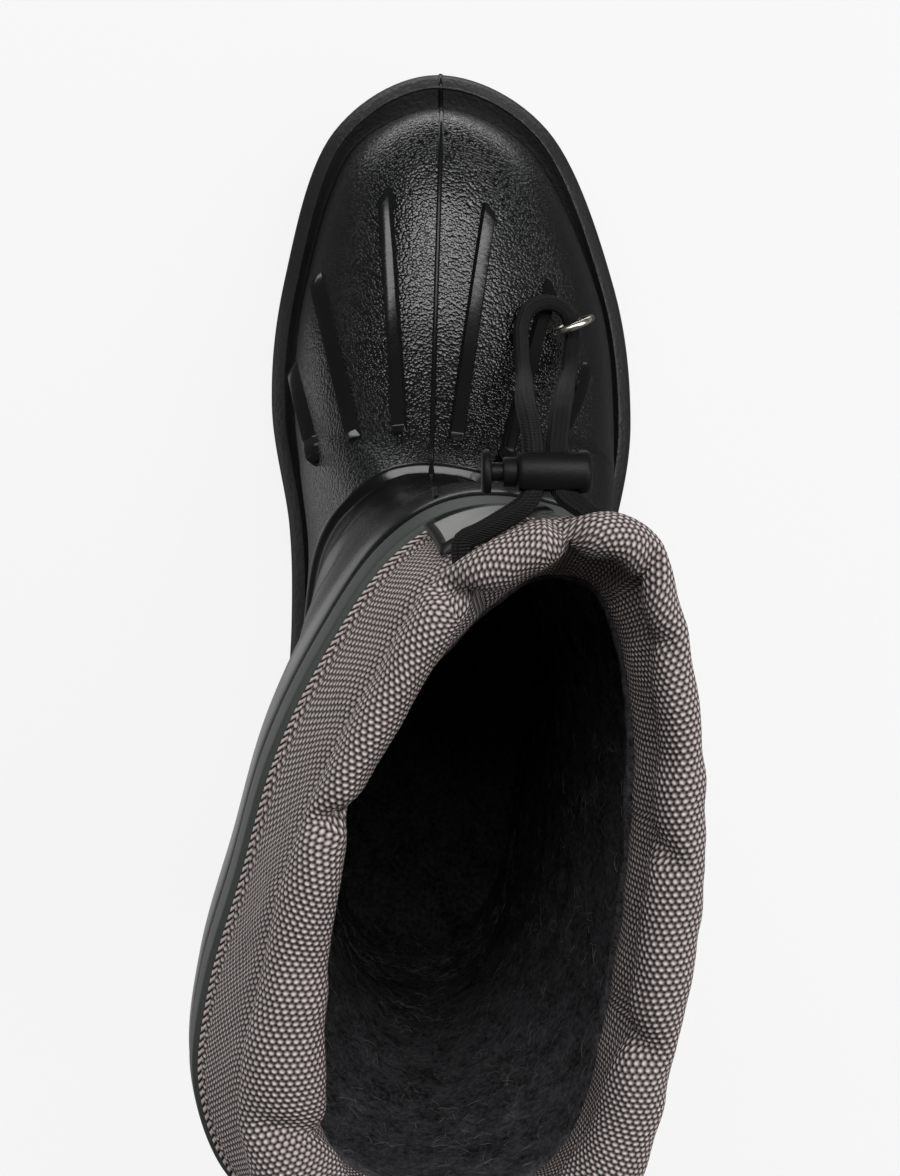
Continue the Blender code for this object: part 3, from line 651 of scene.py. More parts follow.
ring_turns = 2.0 * np.pi * np.arange(RING_STEPS + 1) / RING_STEPS
ring_line = RING_PLACE + np.outer(np.cos(ring_turns) * RING_HALF[0], RING_LONG)
ring_line = ring_line + np.outer(np.sin(ring_turns) * RING_HALF[1], RING_SHORT)
ring_radii = np.full(RING_SIDES, RING_WIRE / 2.0)
ring_bm = skin(sweep_rows(ring_line, ring_radii, np.cross(RING_LONG, RING_SHORT)))
weld(ring_bm, 20.0 * TOUCH)
ring = finish_piece("cord_ring_wire", ring_bm, [METAL])
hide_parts("cord_ring")

# %% [markdown]
# ## Sole
# The sole has a sloping shoulder, a ridge all round, and a hollow between that ridge and the foot.
# Its side is grooved, with ribs that run down into the lugs. The side is one skin of outlines.
# The lugs could be cut out of a slab, but bevelled blocks in a chevron have cleaner edges, and each
# is laid on the tread's own heights.

# %% Sole tables
LENGTH = 222.0
PROUD = 1.8
WALL = 2.6
GAP = 0.3
# Columns: medial x, medial y, medial ledge, lateral x, lateral y, lateral ledge.
SOLE_PLAN = (
    (-5.0, 0.0, 4.0, -5.0, 0.0, 4.0),
    (-27.0, 8.0, 4.0, 16.0, 7.5, 4.0),
    (-37.5, 31.0, 4.0, 27.5, 30.0, 3.5),
    (-38.0, 58.0, 4.0, 31.5, 57.0, 4.0),
    (-36.3, 88.0, 5.0, 38.0, 88.0, 4.0),
    (-36.8, 112.0, 6.0, 45.0, 112.0, 4.5),
    (-41.0, 142.0, 6.2, 48.6, 138.0, 5.4),
    (-37.5, 173.0, 5.8, 44.0, 171.0, 5.0),
    (-25.5, 208.0, 6.8, 27.5, 208.5, 7.0),
    (0.0, LENGTH, 8.9, 0.0, LENGTH, 8.9),
)
# Columns: y, height.
LEDGE_Z = (
    (0.0, 27.0), (40.0, 26.0), (90.0, 23.0), (130.0, 20.5),
    (160.0, 21.0), (190.0, 24.0), (222.0, 29.0),
)
TREAD_Z = (
    (0.0, 1.5), (8.0, 0.0), (66.0, 0.0), (70.0, 3.5), (98.0, 4.0),
    (112.0, 0.0), (168.0, 0.0), (185.0, 1.5), (205.0, 5.0), (222.0, 9.5),
)
# Columns: share of the height, inset from the outer edge.
SOLE_SIDE = (
    (0.0, 4.2), (0.1, 2.4), (0.36, 1.8), (0.42, 3.0), (0.5, 3.0),
    (0.56, 0.4), (0.7, 0.0), (0.86, 0.8), (0.97, 2.6), (1.0, 3.4),
)
# Columns: share of the way from the ridge to the foot, depth of the hollow.
HOLLOW_LINE = ((0.0, 0.0), (0.18, 0.3), (0.45, 1.0), (0.75, 1.6), (1.0, 1.9))
# Where the foot's wall stands out just above the sole. Columns: height, reach.
FLARE = ((0.0, 0.5), (0.8, 0.2), (1.8, 0.05), (2.6, 0.0))
LUG_DEPTH = 4.5
LUG_FADE = 4.0
RIB_DEPTH = 1.4
RIB_STEEP = 3.0
# Shares of the side's height over which the ribs begin and end.
RIB_START = (0.03, 0.1)
RIB_END = (0.34, 0.4)
RIBS = 30
HEEL_LUGS_END = 64.0
BALL_LUGS_START = 112.0

SOLE_LOOP = plan_loop(SOLE_PLAN, (0, 1), (3, 4))
LEDGE = plan_loop(SOLE_PLAN, (2, 2), (5, 5))[:, 0]
FEATHER = inset(SOLE_LOOP, LEDGE + PROUD)
sole_wide, sole_long = np.ptp(SOLE_LOOP, axis=0)
print("sole", round(sole_long, 1), "mm long,", round(sole_wide, 1), "mm wide")


def tread_z(y):
    """Height of the tread, straight between the table's rows as in the solids."""
    return np.interp(y, *np.array(TREAD_Z).T)


# %% Sole side


def sole_rows():
    """Outlines of the sole from the tread up its side, over the ridge and into the hollow."""
    y = SOLE_LOOP[:, 1]
    top = from_curve(y, LEDGE_Z)
    floor = tread_z(y) + LUG_DEPTH
    lugged = smooth(y, BALL_LUGS_START - LUG_FADE, BALL_LUGS_START + LUG_FADE)
    lugged = lugged + smooth(-y, -HEEL_LUGS_END - LUG_FADE, -HEEL_LUGS_END + LUG_FADE)
    turns = 2.0 * np.pi * RIBS * np.arange(COLUMNS) / COLUMNS
    ribs = RIB_DEPTH * lugged * (0.5 + 0.5 * np.tanh(RIB_STEEP * np.cos(turns)))
    rows = []
    for share, depth in open_curve(SOLE_SIDE, 4):
        cut = ribs * smooth(share, *RIB_START) * (1.0 - smooth(share, *RIB_END))
        rows.append(raised(inset(SOLE_LOOP, depth + cut), floor + (top - floor) * share))
    ridge = SOLE_SIDE[-1][1]
    for share, dip in open_curve(HOLLOW_LINE, 3)[1:]:
        loop = inset(SOLE_LOOP, ridge + (LEDGE - FLARE[0][1] - ridge) * share)
        rows.append(raised(loop, from_curve(loop[:, 1], LEDGE_Z) - dip))
    seat = inset(SOLE_LOOP, LEDGE + PROUD + WALL)
    rows.append(raised(seat, from_curve(seat[:, 1], LEDGE_Z) - HOLLOW_LINE[-1][1]))
    return np.array(rows)


def ladder(ring, across):
    """Rows of points that cross a ring from its medial to its lateral half."""
    shares = np.linspace(0.0, 1.0, across + 1)[:, None]
    return np.array([ring[j] * (1.0 - shares) + ring[-j % len(ring)] * shares for j in range(HALF + 1)])


def joined(*parts):
    """Put several bmeshes in one and merge where they touch."""
    whole = bmesh.new()
    for part in parts:
        mesh = to_mesh("part", part)
        whole.from_mesh(mesh)
        bpy.data.meshes.remove(mesh)
    weld(whole, 2.0 * TOUCH)
    return whole


SOLE_ROWS = sole_rows()
sole_ends = [skin(ladder(SOLE_ROWS[k], 6), closed=False) for k in (0, -1)]
sole_bm = joined(skin(SOLE_ROWS), *sole_ends)
sole = finish_piece("sole_side", sole_bm, [SOLE], sharp=60.0)
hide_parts("outsole")

# %% Lugs
LUG_STATIONS = 30
LUGS_ACROSS = 5
LUG_CHEVRON = 5.0
CHEVRON_FADE = 8
LUG_TAPER = 0.9
LUG_EDGE = 0.6


def tread_point(j, k):
    """Corner of a tread cell in plan: rung j from heel to toe, place k across."""
    step = COLUMNS // (2 * LUG_STATIONS)
    a, b = SOLE_ROWS[0][j * step], SOLE_ROWS[0][-j * step]
    share = k / LUGS_ACROSS
    fade = min(1.0, (LUG_STATIONS - j) / CHEVRON_FADE, j / CHEVRON_FADE)
    lead = LUG_CHEVRON * fade * (1.0 - abs(2.0 * share - 1.0))
    return a * (1.0 - share) + b * share + (0.0, lead, 0.0)


def lug_block(corners):
    """Bevelled block that hangs from the sole's floor to the tread."""
    middle = np.mean(corners, axis=0)
    bm = bmesh.new()
    bmesh.ops.create_cube(bm, size=2.0)
    order = {(-1, -1): 0, (1, -1): 1, (1, 1): 2, (-1, 1): 3}
    for v in bm.verts:
        corner = corners[order[(round(v.co.x), round(v.co.y))]]
        if v.co.z > 0.0:
            place = corner + (0.0, 0.0, 0.5)
        else:
            reach = middle - corner
            place = corner + reach * min(0.4, 1.4 * LUG_TAPER / np.linalg.norm(reach))
            place[2] = tread_z(place[1])
        v.co = to_frame(place)
    bmesh.ops.bevel(
        bm, geom=bm.edges[:], offset=LUG_EDGE * MM, segments=2, profile=0.5, affect="EDGES", material=-1
    )
    return bm


lug_blocks = []
for j in range(1, LUG_STATIONS - 1):
    for k in range(LUGS_ACROSS):
        cell = [tread_point(j + up, k + over) for up, over in ((0, 0), (0, 1), (1, 1), (1, 0))]
        place = np.mean(cell, axis=0)[1]
        if (j - 1 + k) % 2 == 0 and (place < HEEL_LUGS_END or place > BALL_LUGS_START):
            lug_blocks.append(lug_block(cell))
print(len(lug_blocks), "lugs")
lugs = finish_piece("sole_lugs", joined(*lug_blocks), [SOLE])
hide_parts("outsole")

# %% [markdown]
# ## Foot and shaft
# One wall of moulded rubber: a grained foot, a glossy step round the ankle, a smooth shaft and a
# matte band at the rim. A subdivided cage could give it, but outlines from the solids' own tables,
# laid closer together, keep its true shape. The step is drawn a little rounder across the front,
# and the flare above the sole is smaller. Flexing has left soft troughs and ridges round the ankle,
# and each is listed.

# %% Upper tables
RIM_Z = 195.0
ANKLE_Z = 104.0
SHAFT_END_Z = 182.0
BLEND_Z = 48.0
THROAT_RISE = 4.0
ARCH_POWER = 2.5
FOOT_ROWS = 56
SHAFT_ROWS = 60
# Rows of the inside, counted from the rim.
INSIDE_ROWS = (-1, -4, -14, -30, -50, -70)
# Columns: medial x, medial y, lateral x, lateral y.
ANKLE_PLAN = (
    (-4.0, 5.0, -4.0, 5.0),
    (-20.0, 13.5, 12.0, 13.0),
    (-30.0, 33.0, 24.0, 31.0),
    (-33.0, 56.0, 29.5, 53.0),
    (-31.8, 79.0, 31.0, 76.0),
    (-28.5, 98.0, 28.8, 95.0),
    (-24.0, 113.0, 23.5, 110.0),
    (-17.5, 122.5, 15.5, 120.5),
    (-9.5, 127.5, 6.5, 126.5),
    (-2.0, 128.5, -2.0, 128.5),
)
RIM_PLAN = (
    (-2.0, -2.0, -2.0, -2.0),
    (-22.0, 1.0, 17.0, 1.0),
    (-38.5, 10.5, 31.0, 13.0),
    (-45.3, 28.0, 38.5, 35.0),
    (-43.5, 47.0, 41.5, 60.0),
    (-37.7, 67.0, 42.0, 83.0),
    (-31.5, 88.5, 40.0, 104.0),
    (-22.3, 107.5, 34.0, 120.0),
    (-10.6, 124.4, 21.0, 129.8),
    (3.0, 132.0, 3.0, 132.0),
)
# Centre line over the vamp. Columns: y, z.
CREST = (
    (211.3, 27.6), (211.2, 37.0), (208.8, 45.0), (202.5, 51.5), (191.5, 57.0), (177.0, 61.5),
    (162.0, 67.0), (148.0, 74.5), (137.0, 83.0), (130.5, 92.0), (128.5, 104.0),
)
# Columns: y, x.
MIDDLE = ((0.0, -4.0), (128.5, -2.0), (211.3, 0.0))
# Columns: z, y.
BACK = ((27.0, 5.0), (45.0, 2.0), (65.0, 2.0), (85.0, 3.8), (104.0, 5.0))
# Columns: share from back to front, z.
STEP_LINE = (
    (0.0, 62.0), (0.33, 62.0), (0.5, 66.0), (0.62, 73.5),
    (0.72, 82.0), (0.8, 88.0), (0.88, 90.6), (1.0, 91.0),
)
# Columns: z, distance.
SHAFT_OUT = (
    (100.0, 0.0), (125.0, 0.2), (145.0, 1.2), (160.0, 2.4), (172.0, 2.8), (182.0, 1.9),
    (185.0, 0.2), (187.0, 1.4), (194.0, 0.4), (195.0, -0.3),
)
# Edge of the ankle step. Columns: height from the step line, share of the step.
STEP_EDGE = (
    (-0.9, 1.0), (-0.3, 1.0), (0.0, 0.95), (0.3, 0.78),
    (0.75, 0.48), (1.2, 0.18), (1.5, 0.04), (1.9, 0.0),
)
# Heights of the last outlines, and where the matte band starts.
BAND_Z = (
    183.0, 184.0, 184.7, 185.3, 185.9, 186.5, 187.2, 188.5, 190.5, 192.5, 193.7, 194.4, 194.8, RIM_Z,
)
BAND_START_Z = 185.0

ANKLE = plan_loop(ANKLE_PLAN, (0, 1), (2, 3))
RIM = plan_loop(RIM_PLAN, (0, 1), (2, 3))
CREST_LINE = open_curve(CREST, 8)
STEP_Z = from_curve(SHARE, STEP_LINE)
FEATHER_Z = from_curve(FEATHER[:, 1], LEDGE_Z) + GAP
print("ankle step from", round(STEP_Z.min(), 1), "to", round(STEP_Z.max(), 1), "mm above the floor")

# %% Upper outlines


def front_y(z):
    """Reach of the vamp at a height."""
    return np.interp(z, CREST_LINE[:, 1], CREST_LINE[:, 0])


def vamp_z(y):
    """Height of the vamp's centre line, rising steeply behind the throat."""
    top = np.interp(y, CREST_LINE[::-1, 0], CREST_LINE[::-1, 1])
    return top + np.maximum(CREST[-1][0] - y, 0.0) * THROAT_RISE


def foot_section(z):
    """Outline of the foot at one height per column: the plan narrowed by the arch of each station."""
    heel, toe = FEATHER[0, 1], FEATHER[HALF, 1]
    back, front = from_curve(z, BACK), front_y(z)
    station = (FEATHER[:, 1] - heel) / (toe - heel)
    y = back + station * (front - back)
    plan_y = heel + station * (front - heel)
    medial = np.interp(plan_y, FEATHER[: HALF + 1, 1], FEATHER[: HALF + 1, 0])
    lateral_columns = np.r_[0, np.arange(COLUMNS - 1, HALF - 1, -1)]
    lateral = np.interp(plan_y, FEATHER[lateral_columns, 1], FEATHER[lateral_columns, 0])
    plan_x = np.where(SIDE < 0, medial, lateral)
    middle = np.interp(y, *np.array(MIDDLE).T)
    base = from_curve(y, LEDGE_Z)
    rise = np.clip((z - base) / (vamp_z(y) - base), 0.0, 1.0)
    arch = np.sqrt(1.0 - rise**ARCH_POWER)
    end = (SHARE == 0.0) | (SHARE == 1.0)
    return np.column_stack((np.where(end, middle, middle + (plan_x - middle) * arch), y))


def shaft_section(z):
    """Outline of the shaft at one height per column, stretched to the vamp below the ankle."""
    up = smooth(z, ANKLE_Z, SHAFT_END_Z)[:, None]
    plan = ANKLE * (1.0 - up) + RIM * up
    low = np.minimum(z, ANKLE_Z)
    back = from_curve(low, BACK)
    first, last = ANKLE[0, 1], ANKLE[HALF, 1]
    stretched = back + (ANKLE[:, 1] - first) / (last - first) * (front_y(low) - back)
    return np.column_stack((plan[:, 0], np.where(z < ANKLE_Z, stretched, plan[:, 1])))


def upper_levels():
    """Heights of the upper's rows per column, how far each stands out, and its zone."""
    run = np.r_[0.0, np.linalg.norm(np.diff(CREST_LINE, axis=0), axis=1).cumsum()]
    end = np.interp(STEP_Z[HALF], CREST_LINE[:, 1], run)
    levels = np.interp(np.linspace(0.0, end, FOOT_ROWS), run, CREST_LINE[:, 1])
    levels = (levels - levels[0]) / (levels[-1] - levels[0])
    flare = open_curve(FLARE, 3)
    heights = [FEATHER_Z + rise for rise, _ in flare]
    out = [np.full(COLUMNS, PROUD + reach) for _, reach in flare]
    foot_start = FEATHER_Z + FLARE[-1][0]
    foot_end = STEP_Z + STEP_EDGE[0][0]
    for share in levels[1:]:
        heights.append(foot_start + (foot_end - foot_start) * share)
        out.append(np.full(COLUMNS, PROUD))
    zones = [0] * len(heights)
    for rise, share in STEP_EDGE[1:]:
        heights.append(STEP_Z + rise)
        out.append(np.full(COLUMNS, PROUD * share))
        zones.append(1)
    above = STEP_Z + STEP_EDGE[-1][0]
    for share in np.linspace(0.0, 1.0, SHAFT_ROWS)[1:]:
        heights.append(above + (SHAFT_END_Z - above) * share)
        out.append(from_curve(heights[-1], SHAFT_OUT))
        zones.append(2)
    for z in BAND_Z:
        heights.append(np.full(COLUMNS, z))
        out.append(from_curve(heights[-1], SHAFT_OUT))
        zones.append(3 if z > BAND_START_Z else 2)
    return np.array(heights), np.array(out), zones


def upper_plain(heights):
    """Plain surface of the upper at the given heights."""
    rows = []
    for z in heights:
        blend = smooth(z, BLEND_Z, ANKLE_Z)[:, None]
        rows.append(np.column_stack((foot_section(z) * (1.0 - blend) + shaft_section(z) * blend, z)))
    return np.array(rows)


HEIGHTS, OUT, ZONES = upper_levels()
PLAIN = upper_plain(HEIGHTS)
NORMALS = surface_normals(PLAIN)
print(len(HEIGHTS), "outlines from the sole to the rim")

# %% Creases
# Columns: side (-1 medial), share of its middle, half length as share, z at the middle, tilt in z per
# share, half width, depth (positive is a trough, negative a ridge).
CREASES = (
    (-1, 0.66, 0.16, 97.0, 55.0, 2.6, 1.1),
    (-1, 0.64, 0.17, 106.0, 55.0, 3.4, -0.8),
    (-1, 0.63, 0.16, 116.0, 50.0, 3.6, 1.0),
    (-1, 0.62, 0.15, 127.0, 45.0, 4.5, -0.6),
    (1, 0.70, 0.16, 100.0, 50.0, 3.0, 0.8),
    (1, 0.68, 0.15, 112.0, 45.0, 4.0, 0.6),
    (1, 0.20, 0.14, 112.0, 10.0, 4.0, 0.5),
    (-1, 0.22, 0.14, 120.0, 8.0, 4.5, 0.5),
)


def crease_depth(z):
    """Depth of the shaft's creases at each point."""
    depth = np.zeros_like(z)
    for side, share, length, middle, tilt, width, amount in CREASES:
        line = middle + (SHARE - share) * tilt
        along = np.clip(1.0 - ((SHARE - share) / length) ** 2, 0.0, 1.0) ** 2
        across = np.exp(-(((z - line) / width) ** 2))
        depth += np.where(SIDE == side, amount * along, 0.0) * across
    return depth * smooth(z, STEP_Z + 3.0, STEP_Z + 9.0)


OUTER = PLAIN + NORMALS * (OUT - crease_depth(HEIGHTS))[..., None]
OUTER[0, :, 2] = from_curve(OUTER[0, :, 1], LEDGE_Z) + GAP - HOLLOW_LINE[-1][1]
OUTER[-1, :, 2] = RIM_Z
INNER = PLAIN - NORMALS * WALL
INNER[-1, :, 2] = RIM_Z
print(len(CREASES), "troughs and ridges round the ankle")

# %% Upper piece
upper_bm = skin(np.concatenate((OUTER, [INNER[k] for k in INSIDE_ROWS])))
upper_bm.faces.ensure_lookup_table()
for index, face in enumerate(upper_bm.faces):
    row = min(index // COLUMNS + 1, len(ZONES) - 1)
    face.material_index = ZONES[row]
upper = finish_piece(
    "rubber_upper", upper_bm, [GRAINED, GLOSSY, SMOOTH, BAND], outwards=False, sharp=60.0
)
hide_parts("upper")

# %% [markdown]
# ## Bars and mould seam
# Six raised bars fan out over the vamp, with drafted sides, a slanted end at the toe and a small
# ramp at the heel end. A Shrinkwrap modifier could lay them on the foot, but rays from above also
# give the way that the surface faces, so every bar stands up from it. The bead down the middle is
# where the two halves of the mould met, and it is swept along points found in the same way.

# %% Bars
# Columns: toe x, toe y, heel x, heel y.
BARS = (
    (-12.2, 191.6, -8.9, 138.8),
    (11.5, 188.3, 3.5, 137.2),
    (-28.0, 172.6, -18.9, 137.3),
    (25.6, 170.8, 14.5, 133.4),
    (-33.6, 151.5, -27.6, 131.6),
    (34.2, 151.6, 24.8, 132.4),
)
BAR_TOP = 2.7
BAR_FOOT = 4.0
BAR_HEIGHT = 1.5
BAR_ROOT = 0.5
BAR_SLANT = 0.55
BAR_RAMP = 0.9
# Share by which the top is level across, instead of square to the foot.
BAR_LEVEL = 0.5
BAR_EDGE = 0.12
# Corners sharper than this, in radians, are bevelled.
BAR_CORNER = 0.45
BAR_STATIONS = 28
# Stations over which the toe end is slanted, and the height left at the heel end.
SLANTED = 3
BAR_END = 0.25
# Rays that go down start above the whole boot.
ABOVE_ALL_Z = 300.0
DOWN = (0.0, 0.0, -1.0)

foot_shell = BVHTree.FromObject(upper, bpy.context.evaluated_depsgraph_get())
sole_shell = BVHTree.FromObject(sole, bpy.context.evaluated_depsgraph_get())


def lay_on(shell, start, direction):
    """Place and outward normal where a ray meets a shell, in millimetres."""
    spot, normal, _, _ = shell.ray_cast(Vector(to_frame(start)), Vector(direction))
    if spot is None:
        return None, None
    normal = normal if normal.dot(Vector(direction)) < 0.0 else -normal
    return np.array(spot) / MM + ORIGIN, np.array(normal)


def bar_block(toe_x, toe_y, heel_x, heel_y):
    """One bar on the vamp as a bevelled block."""
    toe, heel = np.array((toe_x, toe_y, ABOVE_ALL_Z)), np.array((heel_x, heel_y, ABOVE_ALL_Z))
    length = np.linalg.norm(heel - toe)
    shares = np.r_[np.linspace(0.0, 1.0 - BAR_RAMP / length, BAR_STATIONS), 1.0]
    hits = [lay_on(foot_shell, toe + (heel - toe) * s, DOWN) for s in shares]
    spots = np.array([spot for spot, _ in hits])
    along = np.gradient(spots, axis=0)
    rows = []
    for k, (spot, up) in enumerate(hits):
        forward = along[k] / np.linalg.norm(along[k])
        across = np.cross(up, forward)
        across /= np.linalg.norm(across)
        level = np.cross(forward, (1.0, 0.0, 0.0))
        level = up * (1.0 - BAR_LEVEL) + level / np.linalg.norm(level) * np.sign(level[2]) * BAR_LEVEL
        flat = np.cross(level / np.linalg.norm(level), forward)
        tall = BAR_HEIGHT * (BAR_END if k == len(hits) - 1 else 1.0)
        slant = BAR_SLANT * max(0.0, 1.0 - k / SLANTED)
        lean = forward * slant * np.sign(across[0] * (spot[0] - 0.5))
        left, right = spot + lean * BAR_TOP, spot - lean * BAR_TOP
        rows.append((
            left + across * BAR_FOOT / 2.0 - up * BAR_ROOT,
            left + flat * BAR_TOP / 2.0 + up * tall,
            right - flat * BAR_TOP / 2.0 + up * tall,
            right - across * BAR_FOOT / 2.0 - up * BAR_ROOT,
        ))
    bm = skin(rows, closed=False)
    bm.verts.ensure_lookup_table()
    for end in (bm.verts[:4], bm.verts[-4:]):
        bmesh.ops.contextual_create(bm, geom=end)
    bmesh.ops.recalc_face_normals(bm, faces=bm.faces[:])
    sharp = [e for e in bm.edges if len(e.link_faces) == 2 and e.calc_face_angle() > BAR_CORNER]
    bmesh.ops.bevel(
        bm, geom=sharp, offset=BAR_EDGE * MM, segments=2, profile=0.5, affect="EDGES", material=-1
    )
    return bm


bars_bm = joined(*(bar_block(*bar) for bar in BARS))
finish_piece("vamp_bars", bars_bm, [GLOSSY], sharp=25.0)

# %% Mould seam
SEAM_BEAD = 1.3
SEAM_SINK = 0.25
SEAM_TOE = (0.9, 213.0)
SEAM_THROAT = (-2.0, 131.0)
SEAM_SIDES = 10
SEAM_STEP = 0.9
# Rays that go backwards start in front of the whole boot.
IN_FRONT_Y = 240.0
BACKWARDS = (0.0, -1.0, 0.0)


def seam_x(y):
    """Place of the mould seam across the boot."""
    return np.interp(y, (SEAM_THROAT[1], SEAM_TOE[1]), (SEAM_THROAT[0], SEAM_TOE[0]))


def seam_line():
    """Points of the mould seam from the sole's edge over the toe and vamp and up the shaft."""
    points = []
    for z in np.arange(19.0, 28.0, 1.0):
        points.append(lay_on(sole_shell, (seam_x(IN_FRONT_Y), IN_FRONT_Y, z), BACKWARDS))
    for y in np.arange(219.0, 212.5, -0.8):
        points.append(lay_on(sole_shell, (seam_x(y), y, ABOVE_ALL_Z), DOWN))
    for z in np.arange(30.0, 44.0, 1.5):
        points.append(lay_on(foot_shell, (seam_x(212.0), IN_FRONT_Y, z), BACKWARDS))
    for y in np.arange(209.0, 135.0, -2.0):
        points.append(lay_on(foot_shell, (seam_x(y), y, ABOVE_ALL_Z), DOWN))
    for z in np.arange(86.0, 182.0, 1.5):
        points.append(lay_on(foot_shell, (SEAM_THROAT[0], IN_FRONT_Y, z), BACKWARDS))
    return np.array([spot - up * SEAM_SINK for spot, up in points if spot is not None])


seam_points = even_points(seam_line(), SEAM_STEP)
seam_radii = np.full(SEAM_SIDES, SEAM_BEAD / 2.0)
seam_bm = capped(skin(sweep_rows(seam_points, seam_radii, (1.0, 0.0, 0.0))))
finish_piece("mould_seam", seam_bm, [SMOOTH])

# %% [markdown]
# ## Cuff
# The cuff is one strip of woven cloth: a hem in the rubber rim, a face that leans inwards, and a
# channel for the cord that is gathered into a puffy roll. A cloth simulation could gather it, but
# its folds would fall by chance, so each pinch is listed where the cloth folds. The outlines
# start from those of the solids, with a groove below the roll and crisper pinches, and a smooth curve
# runs through them.

# %% Cuff tables
CUFF_TOP_Z = 228.0
# Edges of the roll and of the facing in plan. Columns: medial x, medial y, lateral x, lateral y.
ROLL_OUTER_PLAN = (
    (0.0, 2.4, 0.0, 2.4),
    (-18.0, 6.2, 19.0, 6.5),
    (-31.5, 17.5, 31.5, 20.5),
    (-35.6, 36.0, 37.1, 41.5),
    (-32.0, 55.5, 40.6, 61.0),
    (-27.3, 75.6, 41.9, 81.0),
    (-20.5, 92.0, 41.0, 99.5),
    (-12.5, 107.0, 37.6, 118.5),
    (-2.5, 123.5, 31.5, 132.0),
    (15.0, 132.8, 15.0, 132.8),
)
ROLL_INNER_PLAN = (
    (0.0, 13.6, 0.0, 13.6),
    (-11.0, 16.0, 12.0, 16.5),
    (-18.5, 24.0, 20.5, 25.5),
    (-21.2, 36.5, 26.6, 41.0),
    (-20.2, 54.5, 30.6, 60.5),
    (-18.2, 72.5, 32.6, 80.0),
    (-13.8, 89.0, 33.3, 98.0),
    (-6.3, 102.3, 31.6, 114.5),
    (2.6, 116.0, 26.5, 125.8),
    (14.5, 124.3, 14.5, 124.3),
)
FACING_PLAN = (
    (0.0, 11.5, 0.0, 11.5),
    (-13.0, 14.5, 13.0, 14.5),
    (-22.0, 22.0, 22.0, 24.0),
    (-27.0, 37.0, 26.6, 41.0),
    (-25.5, 54.0, 29.6, 60.5),
    (-22.0, 71.0, 31.2, 80.0),
    (-16.0, 87.0, 31.2, 98.0),
    (-8.0, 100.0, 28.4, 112.5),
    (2.0, 112.0, 23.0, 120.8),
    (13.0, 120.8, 13.0, 120.8),
)
# Columns: inset from the rim, z.
HEM = (
    (3.4, 186.0), (3.2, 194.0), (1.9, RIM_Z + GAP), (1.5, 196.3),
    (1.9, 197.6), (2.6, 198.4), (2.9, 200.0),
)
HEM_INSIDE = ((5.8, RIM_Z), (5.8, 186.0))
FACING_Z = 205.0
# Columns: share from back to front, medial inset, lateral inset.
SEAM_INSET = ((0.0, 1.0, 1.0), (0.2, -0.2, 1.2), (0.8, -0.2, 1.2), (1.0, 1.0, 1.0))
SEAM_Z = 213.0
# Groove between the face and the roll: inset and rise from the face's upper edge.
GROOVE = (1.5, 1.6)
ROLL_TALL = 5.6
ROLL_ANGLES = (-50.0, -22.0, 6.0, 34.0, 62.0, 90.0, 118.0, 146.0, 174.0, 202.0, 230.0)
# Columns: side (-1 medial), share from back to front, depth, width as a share, lean of the fold,
# first angle.
FOLDS = (
    (-1, 0.08, 0.30, 0.020, 0.01, 20.0), (-1, 0.30, 0.42, 0.016, -0.02, 10.0),
    (-1, 0.62, 0.8, 0.014, 0.012, 15.0), (-1, 0.9, 0.85, 0.014, 0.015, -20.0),
    (1, 0.97, 0.75, 0.013, -0.01, -50.0), (1, 0.845, 0.60, 0.014, -0.01, 10.0),
    (1, 0.755, 0.40, 0.018, 0.01, 40.0), (1, 0.535, 0.45, 0.013, 0.02, 50.0),
    (1, 0.355, 0.55, 0.016, 0.015, 40.0), (1, 0.12, 0.35, 0.020, 0.0, 20.0),
    (-1, 0.47, 0.20, 0.030, 0.0, 40.0), (1, 0.64, 0.16, 0.030, 0.0, 60.0),
)
FOLD_DROP = 2.6
FOLD_FADE = 70.0
FOLD_POWER = 1.2
# The cloth is uneven above the hem. Columns: amount, size, seed.
CUFF_SWELLS = ((0.55, 9.0, 3.0), (0.25, 4.0, 17.0))
SWELL_Z = (198.0, 208.0)

ROLL_OUTER = plan_loop(ROLL_OUTER_PLAN, (0, 1), (2, 3))
ROLL_INNER = plan_loop(ROLL_INNER_PLAN, (0, 1), (2, 3))
FACING = plan_loop(FACING_PLAN, (0, 1), (2, 3))
print(len(FOLDS), "pinches in the roll")

# %% Cuff piece


def swollen(rows, swells):
    """Soft unevenness of a cloth, summed from swells of an amount, size and seed."""
    return sum(amount * ripple(rows, size, seed) for amount, size, seed in swells)


def fold_depth(angle):
    """How far the roll is pinched at each column, at one angle round the roll."""
    depth = np.zeros(COLUMNS)
    for side, share, amount, width, lean, first in FOLDS:
        off = SHARE - share - lean * (angle - 90.0) / 90.0
        pinch = np.exp(-np.abs(off / width) ** FOLD_POWER)
        near = pinch * amount * smooth(angle, first, first + FOLD_FADE)
        depth = np.maximum(depth, np.where(SIDE == side, near, 0.0))
    return depth


def cuff_face():
    """Lower and upper edge of the cuff's outer face: the hem and the seam below the roll."""
    depth, z = HEM[-1]
    shares, medial, lateral = np.array(SEAM_INSET).T
    seam_in = np.where(SIDE < 0, np.interp(SHARE, shares, medial), np.interp(SHARE, shares, lateral))
    return raised(inset(RIM, depth), z), raised(inset(ROLL_OUTER, seam_in), SEAM_Z)


